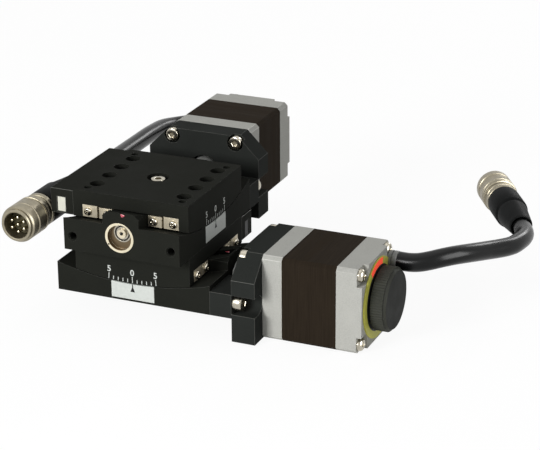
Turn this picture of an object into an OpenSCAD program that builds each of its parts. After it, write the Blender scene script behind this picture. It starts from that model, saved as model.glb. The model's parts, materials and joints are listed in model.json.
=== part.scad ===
// Two-axis motor-driven tilt stage: two like goniometer units, the upper one turned a quarter turn.
// Each unit is drawn once, in its own frame: motor toward +Y, scale on +X, sensor cover on -X,
// z = 0 at the underside of its base. Both units tilt about one centre above the top table.
// Origin: centre of the lower base's mounting face. +X is the lower motor's side, -Y the front.

/* [Unit] */
// Side of the square table
table_w = 40; // [38:0.5:44]
// Height of one unit, from base underside to table face
unit_h = 17.6; // [17.2:0.1:18.4]
// Height of the tilt centre above the top table
centre_h = 67; // [60:1:75]
// Clearance between the table's skirt and the base
seam_gap = 0.3; // [0.2:0.05:0.5]

/* [Base] */
// Length of the base along its guide
base_l = 53.5; // [52:0.5:56]
// Height of the base at the lowest point of its arc
seam_h = 5.9; // [5.6:0.1:6.2]
// Width of the tongue that carries the inner rails
tongue_w = 12.4; // [12:0.2:13]
// Chamfer on the tongue's end corners
tongue_chamfer = 1.6; // [0.8:0.2:2]
// Distance of the mounting screws from the sides, on base and table
mount_inset = 3.5; // [3.4:0.05:3.6]
// Thickness left under a mounting screw's head
mount_floor = 4; // [3.6:0.1:4.3]

/* [Guide] */
// Width of one inner rail
rail_w = 4.7; // [4.4:0.1:5]
// Width of one outer rail
outer_rail_w = 5.1; // [4.9:0.1:5.4]
// Height of a rail
rail_h = 3.85; // [3.7:0.05:4]
// Gap between a rail's lower face and the arc of the base
rail_lift = 0.6; // [0.4:0.1:0.8]
// Gap between the inner and the outer rail
guide_gap = 0.7; // [0.6:0.05:0.8]
// Depth of the V groove in each rail
groove_d = 0.9; // [0.85:0.01:0.95]
// Length of a roller
roller_l = 1.5; // [1.3:0.1:1.6]
// Rollers in each cage
rollers_n = 9; // [5:1:9]
// Pitch of the rollers along the arc
roller_pitch = 3.1; // [2.9:0.1:3.2]
// Thickness of the cage strip
cage_t = 0.3; // [0.2:0.05:0.35]
// Running clearance of the rollers in their grooves
roller_clear = 0.05; // [0.03:0.01:0.08]
// Running clearance above the tongue and the inner rails
top_clear = 0.35; // [0.25:0.05:0.45]

/* [Table] */
// Distance of each row of counterbored holes from the skirt's inner face
rail_hole_inset = 1.5; // [1.4:0.1:1.6]
// Distance of a row's end holes from the table's ends
rail_row_inset = 7.55; // [7.45:0.05:8]
// Depth of the counterbores over the outer rails
rail_bore_depth = 4; // [3.6:0.1:4.4]
// Diameter of the counterbore in the middle of the table
centre_bore_d = 7.2; // [6.8:0.1:7.6]
// Depth of the counterbore in the middle of the table
centre_bore_depth = 2.4; // [2.2:0.1:2.5]

/* [Worm drive] */
// Height of the lower unit's worm axis above its base
lower_axis_h = 6.2; // [6:0.05:6.3]
// Height of the upper unit's worm axis above its base
upper_axis_h = 7.85; // [7.7:0.05:8]
// Nominal tooth module
tooth_module = 0.5; // [0.48:0.01:0.52]
// Pitch radius of the worm
worm_r = 3.25; // [3.1:0.05:3.4]
// Length of the worm's thread
worm_l = 8; // [7:0.5:9]
// Width of the toothed sector
sector_w = 4; // [3.4:0.1:4.2]
// Length of the toothed sector
sector_l = 26; // [24:0.5:27]
// Distance of the sector's flat back below the table's face
sector_back = 3.7; // [3.5:0.1:3.8]
// Radius of the worm shaft
shaft_r = 1.5; // [1.4:0.05:1.6]
// Outer radius of the worm shaft's ball bearings
bearing_r = 3; // [2.9:0.05:3.1]
// Width of a ball bearing
bearing_w = 2.5; // [2.3:0.1:2.7]
// Outer radius of the eccentric bearing bush
bush_r = 4.9; // [4.8:0.05:5.1]
// Length of the bush
bush_l = 6; // [5.5:0.1:6.3]
// Offset of the bush's centre from the worm axis
bush_offset = 1.4; // [1.2:0.05:1.5]
// Radius of the shaft coupling
coupling_r = 5; // [4.8:0.1:5.4]

/* [Motor] */
// Side of the motor's square frame
motor_w = 28; // [28:0.1:28.4]
// Chamfer on the motor's long edges
motor_chamfer = 1.1; // [0.8:0.1:1.6]
// Distance of the motor screws from the motor's sides
motor_screw_inset = 2.5; // [2.4:0.05:2.6]
// Thickness of the motor's front flange
flange_l = 6.5; // [6:0.1:7]
// Length of the laminated stator
stator_l = 18; // [16:0.5:22]
// Length of the motor's rear cap
cap_l = 8.4; // [7.9:0.1:8.9]
// Radius of the motor's pilot boss
pilot_r = 11; // [10.8:0.1:11.2]
// Height of the pilot boss
pilot_l = 2; // [1.8:0.1:2.2]
// Radius of the motor shaft
motor_shaft_r = 2.5; // [2.4:0.05:2.6]
// Radius of the rotor
rotor_r = 7.3; // [7:0.1:7.5]
// Air gap round the rotor
air_gap = 0.2; // [0.15:0.05:0.3]
// Radius of the printed dial plate on the rear cap
dial_r = 13; // [12.5:0.1:13.4]
// Thickness of the dial plate
dial_t = 0.5; // [0.4:0.05:0.6]
// Radius of the hand knob
knob_r = 10.3; // [10:0.1:10.4]
// Thickness of the hand knob
knob_l = 5; // [4.8:0.1:5.6]
// Chamfer on the knob's outer rim
knob_chamfer = 1; // [0.6:0.1:1.2]
// Gap between the dial plate and the knob
knob_gap = 0.7; // [0.6:0.1:0.9]

/* [Bracket] */
// Thickness of the bracket's plate
plate_t = 7.9; // [7.4:0.1:8.4]
// Length of the bracket's foot between base and plate
foot_l = 7.35; // [7:0.05:7.6]
// Height of the bracket's foot
foot_h = 8; // [7.6:0.1:8.2]
// Chamfer on the plate's top corners
plate_chamfer = 7.3; // [6.8:0.1:7.5]
// Distance of the bracket screws from the base's sides
foot_screw_inset = 3; // [2.9:0.1:3.2]
// Height of the bracket screws above the base's underside
foot_screw_z = 4.6; // [4.5:0.1:4.8]
// Radius of the round-bottomed slot at each bracket screw
slot_r = 3.2; // [3.1:0.05:3.3]

/* [Cover and scale] */
// Width of the sensor cover beside the table
cover_w = 7.9; // [7.4:0.1:8.2]
// Height of the sensor cover
cover_h = 8.2; // [7.8:0.1:8.4]
// Floor of the sensor cover
cover_t = 0.6; // [0.5:0.1:0.8]
// Wall of the sensor cover on its outer side
cover_side = 2.1; // [1.8:0.1:2.4]
// Distance of the cover's top below the table's face
cover_drop = 0.5; // [0.4:0.1:0.7]
// Width of a limit sensor
sensor_w = 2.8; // [2.6:0.1:3]
// Length of a limit sensor
sensor_l = 8; // [7:0.5:9]
// Height of a limit sensor
sensor_h = 4.8; // [4.5:0.1:5]
// Width of the white pointer plate
pointer_w = 15; // [14.6:0.1:15.6]
// Thickness of the pointer plate
pointer_t = 0.6; // [0.5:0.05:0.7]
// Distance of the pointer plate from the base's underside
pointer_z = 0.7; // [0.5:0.1:1]

/* [Cords and plugs] */
// Diameter of a motor cord
cord_d = 6; // [5.8:0.1:6.1]
// Radius of the cord gland on the motor
gland_r = 3.1; // [3.06:0.02:3.14]
// Length of the cord gland
gland_l = 2.9; // [2.6:0.1:3.2]
// Length of the plug's black backshell
backshell_l = 23.5; // [22:0.5:25]
// Length of the plug's metal shell
shell_l = 15.5; // [14.5:0.5:17]
// Radius of the plug's metal shell
shell_r = 5; // [4.9:0.05:5.1]
// Depth of the contact recess in the shell
recess_l = 6; // [5.5:0.1:6.5]
// Length of the plug's coupling ring
ring_l = 10.5; // [10:0.5:11.5]
// Outer radius of the plug's coupling ring
ring_r = 6; // [5.9:0.05:6.1]

/* [Hidden] */
$fn = 48;
arc_fn = 240;

// Units, and colours as the object has them
LOWER = 0;
UPPER = 1;
ANODISED = "#26292a";
STEEL = "#b9bcc0";
CAST = "#a9adb0";
STACK = "#3a332c";
BRASS = "#c9a35c";
BLACK = "#151617";

// Screws as [tapped radius, clearance radius, head radius, head height, key width]
M25 = [1.05, 1.35, 2.25, 2.5, 2];
M3 = [1.25, 1.7, 2.75, 3, 2.5];
M3_LOW = [1.25, 1.7, 2.4, 2, 1.8];
M3_HELD = [1.5, 1.7, 2.75, 3, 2.5];

// Pan-head screws as [tapped radius, clearance radius, head radius, head height, recess width]
PAN = [1.05, 1.35, 2.1, 1.6, 0.5];
STOP = [0.75, 0.8, 1.3, 0.8, 0.35];
recess_share = 0.55;
screw_fit = 0.03;
head_fit = 0.2;
bore_fit = 0.02;
running = 0.06;
tip_gap = 0.2;
cut = 1;
socket_floor = 0.45;

// Screw lengths and the depth of their tapped holes
foot_hole_l = 6.8;
foot_tip_gap = 0.6;
foot_screw_l = foot_l + foot_hole_l - foot_tip_gap;
mount_tap_l = 4;
stop_l = 2.5;
rail_screw_l = 5;
rail_seat_z = unit_h - rail_bore_depth;
sector_tap_l = 1.8;
motor_tap_l = 3;
lock_l = 1.2;

// Heights and radii of a unit's guide, all about its tilt centre
axis_h = [lower_axis_h, upper_axis_h];
function zc(u) = centre_h + unit_h * (2 - u);
function seam_r(u) = zc(u) - seam_h;
function rail_out_r(u) = seam_r(u) - rail_lift;
function seat_r(u) = rail_out_r(u) - rail_h;
function tongue_r(u) = seat_r(u) + top_clear;
function rail_mid_r(u) = (rail_out_r(u) + tongue_r(u)) / 2;
function arc_z(u, r, y) = zc(u) - sqrt(r * r - y * y);
inner_rail_x = tongue_w / 2 + rail_w;
outer_rail_x = inner_rail_x + guide_gap;
channel_w = 2 * (outer_rail_x + outer_rail_w);
rail_holes_n = 4;
rail_hole_x = channel_w / 2 - rail_hole_inset;
rail_hole_pitch = (table_w - 2 * rail_row_inset) / (rail_holes_n - 1);
mount_pitch = table_w - 2 * mount_inset;
foot_screw_x = table_w / 2 - foot_screw_inset;
guide_x = inner_rail_x + guide_gap / 2;
rail_end = 0.8;
stop_inset = 1.9;
inner_stop_x = tongue_w / 2 + stop_inset;
outer_stop_x = channel_w / 2 - stop_inset;
cage_end = 0.6;
cage_rim = 0.4;
roller_d = (guide_gap + 2 * groove_d) / sqrt(2) - 2 * roller_clear;
cage_hole_r = norm([roller_d, roller_l]) / 2 + roller_clear;
cage_h = 2 * (cage_hole_r + cage_rim);
cage_l = (rollers_n - 1) * roller_pitch + 2 * (cage_hole_r + cage_end);

// Worm and sector: the tooth count is that of the whole circle
function gear_r(u) = zc(u) - axis_h[u] - worm_r;
function teeth(u) = round(2 * gear_r(u) / tooth_module);
function pitch(u) = 2 * PI * gear_r(u) / teeth(u);
tooth_add = tooth_module;
tooth_ded = 1.25 * tooth_module;
tooth_share = 0.33;
thread_share = 0.39;
flank = tan(20);
worm_out_r = worm_r + tooth_add;
worm_root_r = worm_r - tooth_ded;
worm_room = 0.45;
worm_bore_r = worm_out_r + worm_room;
worm_groove_room = 0.35;
worm_groove_r = worm_out_r + worm_groove_room;
worm_sides = 16;
worm_slices = 10;
sector_fit = 0.05;
sector_clear = 0.4;
sector_margin = 1;

// Stations along a unit's worm axis
base_end = base_l / 2;
plate_y = base_end + foot_l;
motor_y = plate_y + plate_t;
motor_pitch = motor_w - 2 * motor_screw_inset;
stator_y = motor_y + flange_l;
cap_y = stator_y + stator_l;
rear_y = cap_y + cap_l;
dial_y = rear_y + dial_t;
knob_y = dial_y + knob_gap;
knob_end = knob_y + knob_l;
spotface_d = 2.2;
spotface_room = 0.6;
bearing_inset = 1.2;
front_bearing_y = -base_end + bearing_inset;
rear_bearing_y = base_end - bearing_inset - bearing_w;
shaft_setback = 0.5;
shaft_front = -base_end + shaft_setback;
coupling_gap = 0.9;
pilot_gap = 0.6;
coupling_y = base_end + coupling_gap;
coupling_end = motor_y - pilot_l - pilot_gap;
coupling_mid = (coupling_y + coupling_end) / 2;
shaft_end_gap = 0.4;
coupling_room = 0.7;
slit_w = 0.5;
slit_at = 1.2;
slit_web = 0.8;
cap_cavity = 2.5;
cavity_room = 1;
corner_gap = 1;
corner_depth = 1.7;
case_head_y = rear_y - corner_depth;
corner_w = motor_screw_inset + PAN[2] + corner_gap;
knob_wall = 1.2;
hub_wall = 2.5;
hub_r = motor_shaft_r + hub_wall;
knurl_d = 0.25;
knurl_n = 72;
rim_r = knob_r - 2 * knurl_d;
dial_room = 0.8;
slot_x = foot_screw_x - M3[2] - head_fit + slot_r;
sensor_inset = 0.2;
sensor_gap = 0.1;

// Bearings, bush and the shaft's collar between them
ring_split_r = 2.1;
shield_gap = 0.08;
shield_w = 0.4;
shield_depth = 0.4;
collar_step = 0.1;
collar_r = ring_split_r - collar_step;
collar_room = 0.35;
bush_rim = 0.8;
bush_dish = 1.6;
bush_dot_r = 0.3;
bush_dot_turn = 214;
bush_turn = [180, 247];
function bush_at(u) = bush_offset * [cos(bush_turn[u]), sin(bush_turn[u])];

// Gland, cords and plugs: the routes are in the part's own frame
gland_at = [-10.8, 8.4];
wire_r = 1.3;
shell_t = 0.7;
ring_clear = 0.1;
lip_w = 0.8;
lip_h = 0.3;
ring_z = backshell_l + shell_l - ring_l - lip_w - 2 * ring_clear;
backshell_lip = 0.6;
backshell_rear = 0.9;
backshell_taper = 13.5;
pin_r = 0.5;
pin_circle_r = 2.4;
pins_n = 6;
insert_l = 1;
pin_setback = 1;
grip_groove_w = 0.6;
grip_groove_d = 0.35;
grip_grooves_n = 3;
function to_part(u, p) = u == LOWER ? [p[1], -p[0], p[2]] : [p[0], p[1], p[2] + unit_h];
function gland_end(u) = to_part(u, [gland_at[0], rear_y + gland_l, axis_h[u] + gland_at[1]]);
function gland_dir(u) = u == LOWER ? [1, 0, 0] : [0, 1, 0];
plug_turn = [121.4, -90];
plug_at = [[103.2, 59.2, 12], [-34.1, 7, 25.05]];
function plug_dir(u) = [cos(plug_turn[u]), sin(plug_turn[u]), 0];
lower_points = [
    [84, 11.1, 14.9], [87.3, 12.1, 15.6], [90.6, 14.1, 16.3], [93.8, 17.2, 16.5], [96.6, 21.4, 16],
    [98.9, 25.9, 15.2], [100.7, 29.7, 14.5], [102.6, 33.3, 13.9], [104.5, 36.9, 13.4], [105.9, 40.5, 13],
    [106.6, 44.4, 12.8], [106.8, 48.5, 12.5], [106.3, 52.6, 12.2]
];
upper_points = [
    [-10.9, 84.8, 33.6], [-12.1, 89.4, 32.2], [-15.1, 93.7, 29.5], [-19.8, 96.6, 26.1], [-25.3, 96.9, 22.9],
    [-30.8, 94.4, 20.9], [-35.1, 89.9, 20.4], [-37.4, 84.1, 21], [-37.7, 77.7, 21.7], [-37.2, 71, 22.5],
    [-36.9, 63.9, 22.9], [-36.7, 56.5, 23.1], [-36.4, 49.1, 23.3], [-35.8, 41.5, 23.7], [-35.3, 33.9, 24.1],
    [-34.7, 26.1, 24.6], [-34.3, 18.3, 24.9]
];
cord_points = [lower_points, upper_points];
cord_lead = 3;
cord_sides = 12;
cord_steps = 4;
function route(u) = concat(
    [gland_end(u), gland_end(u) + cord_lead * gland_dir(u)],
    cord_points[u],
    [plug_at[u] - cord_lead * plug_dir(u), plug_at[u]]
);
function pick(p, i) = p[max(0, min(len(p) - 1, i))];
function spline(p, i, t) =
    let (a = pick(p, i - 1), b = pick(p, i), c = pick(p, i + 1), d = pick(p, i + 2))
    b + t * ((c - a) + t * ((2 * a - 5 * b + 4 * c - d) + t * (3 * b - a - 3 * c + d))) / 2;
function smooth(p) = concat(
    [p[0]],
    [for (i = [1 : len(p) - 3]) for (k = [0 : cord_steps - 1]) spline(p, i, k / cord_steps)],
    [p[len(p) - 2], p[len(p) - 1]]
);
function unit(v) = v / norm(v);
function ring(p, i, r, n) =
    let (
        t = unit(pick(p, i + 1) - pick(p, i - 1)),
        s = unit(cross(t, [0, 0, 1])),
        w = cross(s, t)
    )
    [for (k = [0 : n - 1]) p[i] + r * (cos(360 * k / n) * s + sin(360 * k / n) * w)];

// Puts a unit's own frame in the part's frame
module place(u) {
    if (u == LOWER) rotate([0, 0, -90]) children();
    if (u == UPPER) translate([0, 0, unit_h]) children();
}

// Puts a plug's own frame, rear end at the origin and face toward +Z, in the part's frame
module place_plug(u) {
    translate(plug_at[u]) rotate([0, 90, plug_turn[u]]) children();
}

// A cylinder round the tilt centre
module drum(u, r, w) {
    translate([0, 0, zc(u)]) rotate([0, 90, 0]) cylinder(r = r, h = w, center = true, $fn = arc_fn);
}

// A box given by its middle in x and y and its ends in z
module slab(w, l, z0, z1) {
    translate([-w / 2, -l / 2, z0]) cube([w, l, z1 - z0]);
}

// A cylinder along y, from y0 to y1
module rod(x, z, r, y0, y1) {
    translate([x, y0, z]) rotate([-90, 0, 0]) cylinder(r = r, h = y1 - y0);
}

// A socket-head screw: head above z = 0, shank below
module cap_screw(size, l) {
    difference() {
        union() {
            cylinder(r = size[2], h = size[3]);
            translate([0, 0, -l]) cylinder(r = size[0] - screw_fit, h = l + cut);
        }
        translate([0, 0, size[3] * socket_floor]) cylinder(d = size[4] / cos(30), h = size[3], $fn = 6);
    }
}

// A pan-head screw with a cross recess: head above z = 0, shank below
module pan_screw(size, l) {
    arm = recess_share * size[2];
    difference() {
        union() {
            cylinder(r = size[2], h = size[3]);
            translate([0, 0, -l]) cylinder(r = size[0] - screw_fit, h = l + size[3] / 2);
        }
        for (a = [0, 90]) rotate([0, 0, a]) translate([-arm, -size[4] / 2, size[3] / 2])
            cube([2 * arm, size[4], size[3]]);
    }
}

// Copies at the four corners of a square in x and y
module corners(side) {
    for (x = [-1, 1]) for (y = [-1, 1]) translate([x * side / 2, y * side / 2, 0]) children();
}

// Copies at the four corners of a square about the worm axis, turned to face +Y
module axis_corners(u, side, y) {
    for (x = [-1, 1]) for (z = [-1, 1])
        translate([x * side / 2, y, axis_h[u] + z * side / 2]) rotate([-90, 0, 0]) children();
}

// Copies at the two ends of the guide, at both sides, facing outward
module rail_ends(u, x) {
    for (sx = [-1, 1]) for (sy = [-1, 1])
        translate([sx * x, sy * table_w / 2, arc_z(u, rail_mid_r(u), table_w / 2)])
            rotate([-90 * sy, 0, 0]) children();
}

// Copies over the outer rails, in two rows of four
module rail_holes() {
    for (x = [-1, 1]) for (k = [0 : rail_holes_n - 1])
        translate([x * rail_hole_x, rail_row_inset - table_w / 2 + k * rail_hole_pitch, 0]) children();
}

// A section in radius and x, turned about the tilt centre and cut to a length along the guide
module arc_bar(u, section, l) {
    intersection() {
        translate([0, 0, zc(u)]) rotate([0, 90, 0]) rotate_extrude($fn = arc_fn) polygon(section);
        slab(table_w + cut, l, 0, unit_h);
    }
}

// A rail with a V groove on its side at x1, which stops short of its ends
module rail_bar(u, x0, x1, r_in) {
    s = sign(x1 - x0);
    mid = rail_mid_r(u);
    difference() {
        arc_bar(u, [[r_in, x0], [rail_out_r(u), x0], [rail_out_r(u), x1], [r_in, x1]], table_w);
        arc_bar(u, [
            [mid + groove_d + cut, x1 + s * cut],
            [mid, x1 - s * groove_d],
            [mid - groove_d - cut, x1 + s * cut]
        ], table_w - 2 * rail_end);
    }
}

// Base block with its concave arc, the tongue and all its bores
module base(u) {
    bush = bush_at(u);
    color(ANODISED) difference() {
        union() {
            difference() {
                slab(table_w, base_l, 0, unit_h);
                drum(u, seam_r(u), table_w + 2 * cut);
            }
            difference() {
                tongue(u);
                drum(u, tongue_r(u), table_w);
            }
        }
        intersection() {
            slab(sector_w + 2 * sector_clear, base_l - 2 * cut, 0, unit_h);
            drum(u, gear_r(u) + tooth_add + sector_clear, table_w);
        }
        rod(0, axis_h[u], worm_bore_r, -base_end + bush_l - cut, rear_bearing_y - cut);
        rod(0, axis_h[u], collar_r + collar_room, 0, base_end + cut);
        rod(0, axis_h[u], bearing_r + bore_fit, rear_bearing_y, base_end + cut);
        rod(bush[0], axis_h[u] + bush[1], bush_r + bore_fit, -base_end - cut, -base_end + bush_l);
        translate([bush[0], -base_end + bush_l / 2, axis_h[u]]) cylinder(r = M25[0], h = unit_h);
        corners(mount_pitch) {
            translate([0, 0, -cut]) cylinder(r = M3[1], h = unit_h);
            translate([0, 0, mount_floor]) cylinder(r = M3[2] + head_fit, h = unit_h);
        }
        for (s = [-1, 1]) for (x = [-1, 1]) translate([x * foot_screw_x, s * base_end, foot_screw_z])
            rotate([90 * s, 0, 0]) {
                translate([0, 0, -cut]) cylinder(r = M3[0], h = foot_hole_l + cut);
                translate([0, 0, -cut]) cylinder(r1 = M3[1] + cut, r2 = M3[0], h = M3[1] - M3[0] + cut);
            }
        translate([table_w / 2 - pointer_t, -pointer_w / 2 - bore_fit, pointer_z])
            cube([table_w, pointer_w + 2 * bore_fit, unit_h]);
    }
}

// Tongue blank, with its end corners cut at 45 degrees
module tongue(u) {
    rotate([90, 0, 0]) translate([0, 0, -base_l / 2]) linear_extrude(base_l) tongue_outline(u);
}

module tongue_outline(u) {
    top = arc_z(u, tongue_r(u), base_end) + cut / 100;
    polygon([
        [-tongue_w / 2, seam_h / 2], [tongue_w / 2, seam_h / 2], [tongue_w / 2, top - tongue_chamfer],
        [tongue_w / 2 - tongue_chamfer, top], [-tongue_w / 2 + tongue_chamfer, top],
        [-tongue_w / 2, top - tongue_chamfer]
    ]);
}

module inner_rails(u) {
    color(STEEL) difference() {
        for (s = [-1, 1]) rail_bar(u, s * tongue_w / 2, s * inner_rail_x, tongue_r(u));
        rail_ends(u, inner_stop_x) stop_hole();
    }
}

module outer_rails(u) {
    color(STEEL) difference() {
        for (s = [-1, 1]) rail_bar(u, s * channel_w / 2, s * outer_rail_x, seat_r(u) + sector_fit);
        rail_ends(u, outer_stop_x) stop_hole();
        rail_holes() translate([0, 0, rail_seat_z - rail_screw_l - tip_gap])
            cylinder(r = M25[0], h = unit_h);
    }
}

// Blind hole for a stop screw in a rail's end
module stop_hole() {
    translate([0, 0, -stop_l - tip_gap]) cylinder(r = STOP[1], h = stop_l + cut);
}

// Strip cages between the rails
module roller_cages(u) {
    color(BRASS) for (s = [-1, 1]) difference() {
        intersection() {
            translate([s * guide_x, 0, zc(u)]) rotate([0, 90, 0]) difference() {
                cylinder(r = rail_mid_r(u) + cage_h / 2, h = cage_t, center = true, $fn = arc_fn);
                cylinder(r = rail_mid_r(u) - cage_h / 2, h = cage_t + cut, center = true, $fn = arc_fn);
            }
            slab(table_w, cage_l, 0, unit_h);
        }
        at_rollers(u, s) sphere(r = cage_hole_r);
    }
}

// Copies at each roller place on side s, turned with the arc; every other one stands the other way
module at_rollers(u, s) {
    for (k = [0 : rollers_n - 1])
        translate([s * guide_x, 0, zc(u)])
            rotate([(k - (rollers_n - 1) / 2) * roller_pitch / rail_mid_r(u) * 180 / PI, 0, 0])
                translate([0, 0, -rail_mid_r(u)]) rotate([0, k % 2 == 0 ? 45 : -45, 0]) children();
}

module rollers(u) {
    color(STEEL) for (s = [-1, 1]) at_rollers(u, s) cylinder(d = roller_d, h = roller_l, center = true);
}

// Table plate with two skirts, open below for the rails, the tongue and, where it reaches up, the worm
module table(u) {
    color(ANODISED) difference() {
        intersection() {
            slab(table_w, table_w, 0, unit_h);
            drum(u, seam_r(u) - seam_gap, table_w + 2 * cut);
        }
        difference() {
            slab(channel_w, table_w + 2 * cut, 0, unit_h);
            drum(u, seat_r(u), table_w);
        }
        slab(sector_w + 2 * sector_fit, sector_l + 2 * sector_fit, 0, unit_h - sector_back);
        rail_holes() {
            translate([0, 0, rail_seat_z]) cylinder(r = M25[2] + head_fit, h = unit_h);
            cylinder(r = M25[1], h = unit_h);
        }
        translate([0, 0, unit_h - centre_bore_depth]) cylinder(d = centre_bore_d, h = unit_h);
        cylinder(r = M3[1], h = unit_h);
        corners(mount_pitch) translate([0, 0, unit_h - mount_tap_l])
            cylinder(r = u == LOWER ? M3_HELD[0] : M3[0], h = unit_h);
        intersection() {
            slab(2 * worm_groove_r, sector_l, 0, unit_h);
            translate([0, 0, zc(u)]) rotate([0, 90, 0]) rotate_extrude($fn = arc_fn)
                translate([zc(u) - axis_h[u], 0]) circle(r = worm_groove_r);
        }
    }
}

// Toothed sector under the table, with a tooth space over the middle of the worm
module worm_sector(u) {
    r = gear_r(u);
    step = 360 / teeth(u);
    count = floor((sector_l / 2 - sector_margin) / pitch(u));
    half = tooth_share * step / 2;
    tip = half - flank * tooth_add / r * 180 / PI;
    root = half + flank * tooth_ded / r * 180 / PI;
    function at(rr, a) = [rr * sin(a), zc(u) - rr * cos(a)];
    end_a = asin(sector_l / 2 / (r - tooth_ded));
    back = unit_h - sector_back;
    color(BRASS) difference() {
        rotate([90, 0, 90]) translate([0, 0, -sector_w / 2]) linear_extrude(sector_w) polygon(concat(
            [[-sector_l / 2, back], [-sector_l / 2, at(r - tooth_ded, -end_a)[1]]],
            [for (k = [-count : count - 1]) each [
                at(r - tooth_ded, (k + 0.5) * step - root), at(r + tooth_add, (k + 0.5) * step - tip),
                at(r + tooth_add, (k + 0.5) * step + tip), at(r - tooth_ded, (k + 0.5) * step + root)
            ]],
            [[sector_l / 2, at(r - tooth_ded, end_a)[1]], [sector_l / 2, back]]
        ));
        translate([0, 0, back - sector_tap_l]) cylinder(r = M3[0], h = unit_h);
    }
}

// Worm thread, one start, right-handed, with a crest over its middle
module worm_thread(u) {
    p = pitch(u);
    half = thread_share / 2;
    crest = half - flank * tooth_add / p;
    foot = half + flank * tooth_ded / p;
    function thread_r(t) = t < crest ? worm_out_r
        : t > foot ? worm_root_r
        : worm_out_r - (worm_out_r - worm_root_r) * (t - crest) / (foot - crest);
    turns = worm_l / p;
    translate([0, -worm_l / 2, axis_h[u]]) rotate([-90, 0, 0])
        rotate([0, 0, 270 - 180 * turns])
            linear_extrude(worm_l, twist = -360 * turns, slices = round(worm_slices * turns)) polygon([
                for (k = [0 : worm_sides - 1])
                    thread_r(min(k, worm_sides - k) / worm_sides)
                        * [cos(360 * k / worm_sides), sin(360 * k / worm_sides)]
            ]);
}

module worm_shaft(u) {
    color(STEEL) difference() {
        union() {
            rod(0, axis_h[u], shaft_r, shaft_front, coupling_mid - shaft_end_gap);
            worm_thread(u);
            rod(0, axis_h[u], collar_r, front_bearing_y + bearing_w, rear_bearing_y);
        }
        translate([0, shaft_front, axis_h[u]]) rotate([-90, 0, 0])
            cylinder(r1 = shaft_r / 2, r2 = 0, h = shaft_r / 2);
    }
}

// A ring along y about the worm axis
module tube(u, r0, r1, y0, y1) {
    difference() {
        rod(0, axis_h[u], r1, y0, y1);
        rod(0, axis_h[u], r0, y0 - cut, y1 + cut);
    }
}

module bearing_inner_rings(u) {
    color(STEEL) for (y = [front_bearing_y, rear_bearing_y])
        tube(u, shaft_r + bore_fit, ring_split_r, y, y + bearing_w);
}

module bearing_outer_rings(u) {
    shield_r = ring_split_r + shield_gap + shield_w;
    color(STEEL) for (y = [front_bearing_y, rear_bearing_y]) difference() {
        tube(u, ring_split_r + shield_gap, bearing_r, y, y + bearing_w);
        rod(0, axis_h[u], shield_r, y - cut, y + shield_depth);
        rod(0, axis_h[u], shield_r, y + bearing_w - shield_depth, y + bearing_w + cut);
    }
}

// Bush whose bore is off centre, so that turning it sets the backlash
module bearing_bush(u) {
    bush = bush_at(u);
    dot = (bush_r - bush_rim / 2) * [cos(bush_dot_turn), sin(bush_dot_turn)];
    color(BRASS) difference() {
        rod(bush[0], axis_h[u] + bush[1], bush_r, -base_end, -base_end + bush_l);
        rod(bush[0], axis_h[u] + bush[1], bush_r - bush_rim, -base_end - cut, -base_end + bush_dish);
        rod(0, axis_h[u], bearing_r + bore_fit, -base_end - cut, front_bearing_y + bearing_w);
        rod(0, axis_h[u], collar_r + collar_room, -base_end, 0);
        rod(bush[0] + dot[0], axis_h[u] + bush[1] + dot[1], bush_dot_r, -base_end, -base_end + cut);
    }
}

// Slit coupling between the worm shaft and the motor shaft
module shaft_coupling(u) {
    color(CAST) difference() {
        rod(0, axis_h[u], coupling_r, coupling_y, coupling_end);
        rod(0, axis_h[u], shaft_r + bore_fit, coupling_y - cut, coupling_mid);
        rod(0, axis_h[u], motor_shaft_r + bore_fit, coupling_mid, coupling_end + cut);
        for (s = [-1, 1])
            translate([0, coupling_mid + s * slit_at, axis_h[u]]) rotate([0, s < 0 ? 0 : 180, 0])
                translate([-coupling_r, -slit_w / 2, -slit_web])
                    cube([2 * coupling_r, slit_w, coupling_r + slit_web]);
    }
}

// Bracket: foot against the base, plate behind the motor, slots for the screws in its sides
module motor_bracket(u) {
    color(ANODISED) difference() {
        union() {
            translate([-table_w / 2, base_end, 0]) cube([table_w, foot_l + cut, foot_h]);
            translate([0, plate_y + plate_t, 0]) rotate([90, 0, 0])
                linear_extrude(plate_t) plate_outline(u);
        }
        rod(0, axis_h[u], coupling_r + coupling_room, base_end - cut, motor_y + cut);
        rod(0, axis_h[u], pilot_r + bore_fit, motor_y - pilot_l, motor_y + cut);
        axis_corners(u, motor_pitch, plate_y - cut) {
            cylinder(r = M25[1], h = plate_t + 2 * cut);
            cylinder(r = M25[2] + spotface_room, h = spotface_d + cut);
        }
        for (s = [-1, 1]) {
            rod(s * foot_screw_x, foot_screw_z, M3[1], base_end - cut, plate_y + cut);
            rod(s * slot_x, foot_screw_z, slot_r, plate_y, motor_y + cut);
            translate([s * (slot_x + table_w / 2) - table_w / 2, plate_y, foot_screw_z - slot_r])
                cube([table_w, plate_t + cut, 2 * slot_r]);
        }
    }
}

module plate_outline(u) {
    w = table_w / 2;
    z0 = axis_h[u] - motor_w / 2;
    z1 = axis_h[u] + motor_w / 2;
    polygon([
        [-w, z0], [w, z0], [w, z1 - plate_chamfer], [w - plate_chamfer, z1],
        [-w + plate_chamfer, z1], [-w, z1 - plate_chamfer]
    ]);
}

// A length of the motor's frame, square with cut corners
module frame_block(u, y0, y1) {
    w = motor_w / 2;
    c = w - motor_chamfer;
    translate([0, y1, axis_h[u]]) rotate([90, 0, 0]) linear_extrude(y1 - y0) polygon([
        [-w, -c], [-c, -w], [c, -w], [w, -c], [w, c], [c, w], [-c, w], [-w, c]
    ]);
}

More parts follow.
